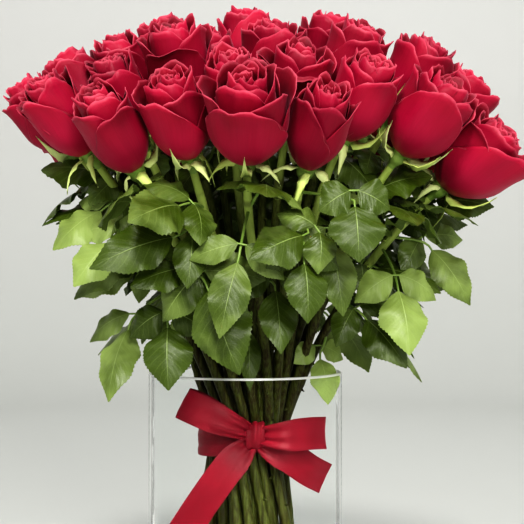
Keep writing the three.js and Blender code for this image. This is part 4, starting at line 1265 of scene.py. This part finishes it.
# The studio: a plain pale sweep of paper all round, floor and wall in one, lit by large soft lamps.
# The paper is painted darker down towards the floor, as shade.
SWEEP_RADIUS = 3.2
SWEEP_ROUND = 0.9
SWEEP_TOP = 3.4
SWEEP_STEPS = 96
PAPER = (0.66, 0.657, 0.646, 1)
PAPER_SHADE = (0.635, 0.637, 0.62, 1)
PAPER_LOW_PAINTED_SHADE = (0.578, 0.588, 0.565, 1)
AIR = (0.95, 0.97, 1, 1)
AIR_LIGHT = 0.19


def paper_material():
    material = new_material("pale_paper", Roughness=0.9, Specular_IOR_Level=0.1)
    place = object_place()
    paper = tint(noise(place, 1.5, 3), PAPER, PAPER_SHADE)
    # Darker from the wall down to the floor: painted shade.
    return painted(material, tint(place.split()[2].ease(0, 1.1), PAPER_LOW_PAINTED_SHADE, paper))


def lamp(name, place, aim, size, power, colour=(1, 1, 1), tall=0):
    light = bpy.data.lights.new(name, "AREA")
    light.shape = "RECTANGLE" if tall else "DISK"
    light.size = size
    light.size_y = tall or size
    light.energy = power
    light.color = colour
    holder = bpy.data.objects.new(name, light)
    holder.location = place
    holder.rotation_euler = (Vector(aim) - Vector(place)).to_track_quat("-Z", "Y").to_euler()
    holder.visible_camera = False
    scene.collection.objects.link(holder)


corner = round_corner((SWEEP_RADIUS - SWEEP_ROUND, SWEEP_ROUND), SWEEP_ROUND, 0, -90, 12)
sweep_mesh = turned("sweep", [(SWEEP_RADIUS, SWEEP_TOP), *corner, (0, 0)], paper_material(), SWEEP_STEPS, 0)
sweep = bpy.data.objects.new("sweep", sweep_mesh)
scene.collection.objects.link(sweep)
lamp("key_lamp", (-0.1, -1.9, 2.0), (0, 0, 0.36), 0.45, 44, (1, 0.98, 0.95))
lamp("front_lamp", (0.5, -2.5, 1.1), (0, 0, 0.33), 0.6, 28, (1, 0.99, 0.96))
lamp("right_strip", (1.9, -0.7, 1.5), (0, 0, 0.5), 0.5, 6, tall=1.4)
lamp("left_strip", (-1.9, -0.9, 1.5), (0, 0, 0.5), 0.5, 5, tall=1.4)
lamp("top_lamp", (0.1, 0.5, 2.6), (0, 0, 0.3), 1.2, 14.5)
lamp("wall_lamp", (0.2, 1.4, 2.3), (0.2, 3.2, 1.2), 1.0, 13.8)
scene.world = bpy.data.worlds.new("studio_air")
scene.world.use_nodes = True
air = scene.world.node_tree.nodes["Background"].inputs
air["Color"].default_value = AIR
air["Strength"].default_value = AIR_LIGHT
scene.view_settings.view_transform = "Standard"
scene.view_settings.look = "High Contrast"


# The camera: it stands about a metre in front of the vase, a little above its rim, and looks up a degree.
CAMERA_PLACE = (0.013, -0.950, 0.318)
CAMERA_LENS = 83.5
CAMERA_SENSOR = 36
CAMERA_UP = math.radians(1.04)

camera = bpy.data.cameras.new("camera")
camera.lens = CAMERA_LENS
camera.sensor_width = CAMERA_SENSOR
camera_holder = bpy.data.objects.new("camera", camera)
camera_holder.location = CAMERA_PLACE
camera_holder.rotation_euler = (math.pi / 2 + CAMERA_UP, 0, 0)
scene.collection.objects.link(camera_holder)
scene.camera = camera_holder
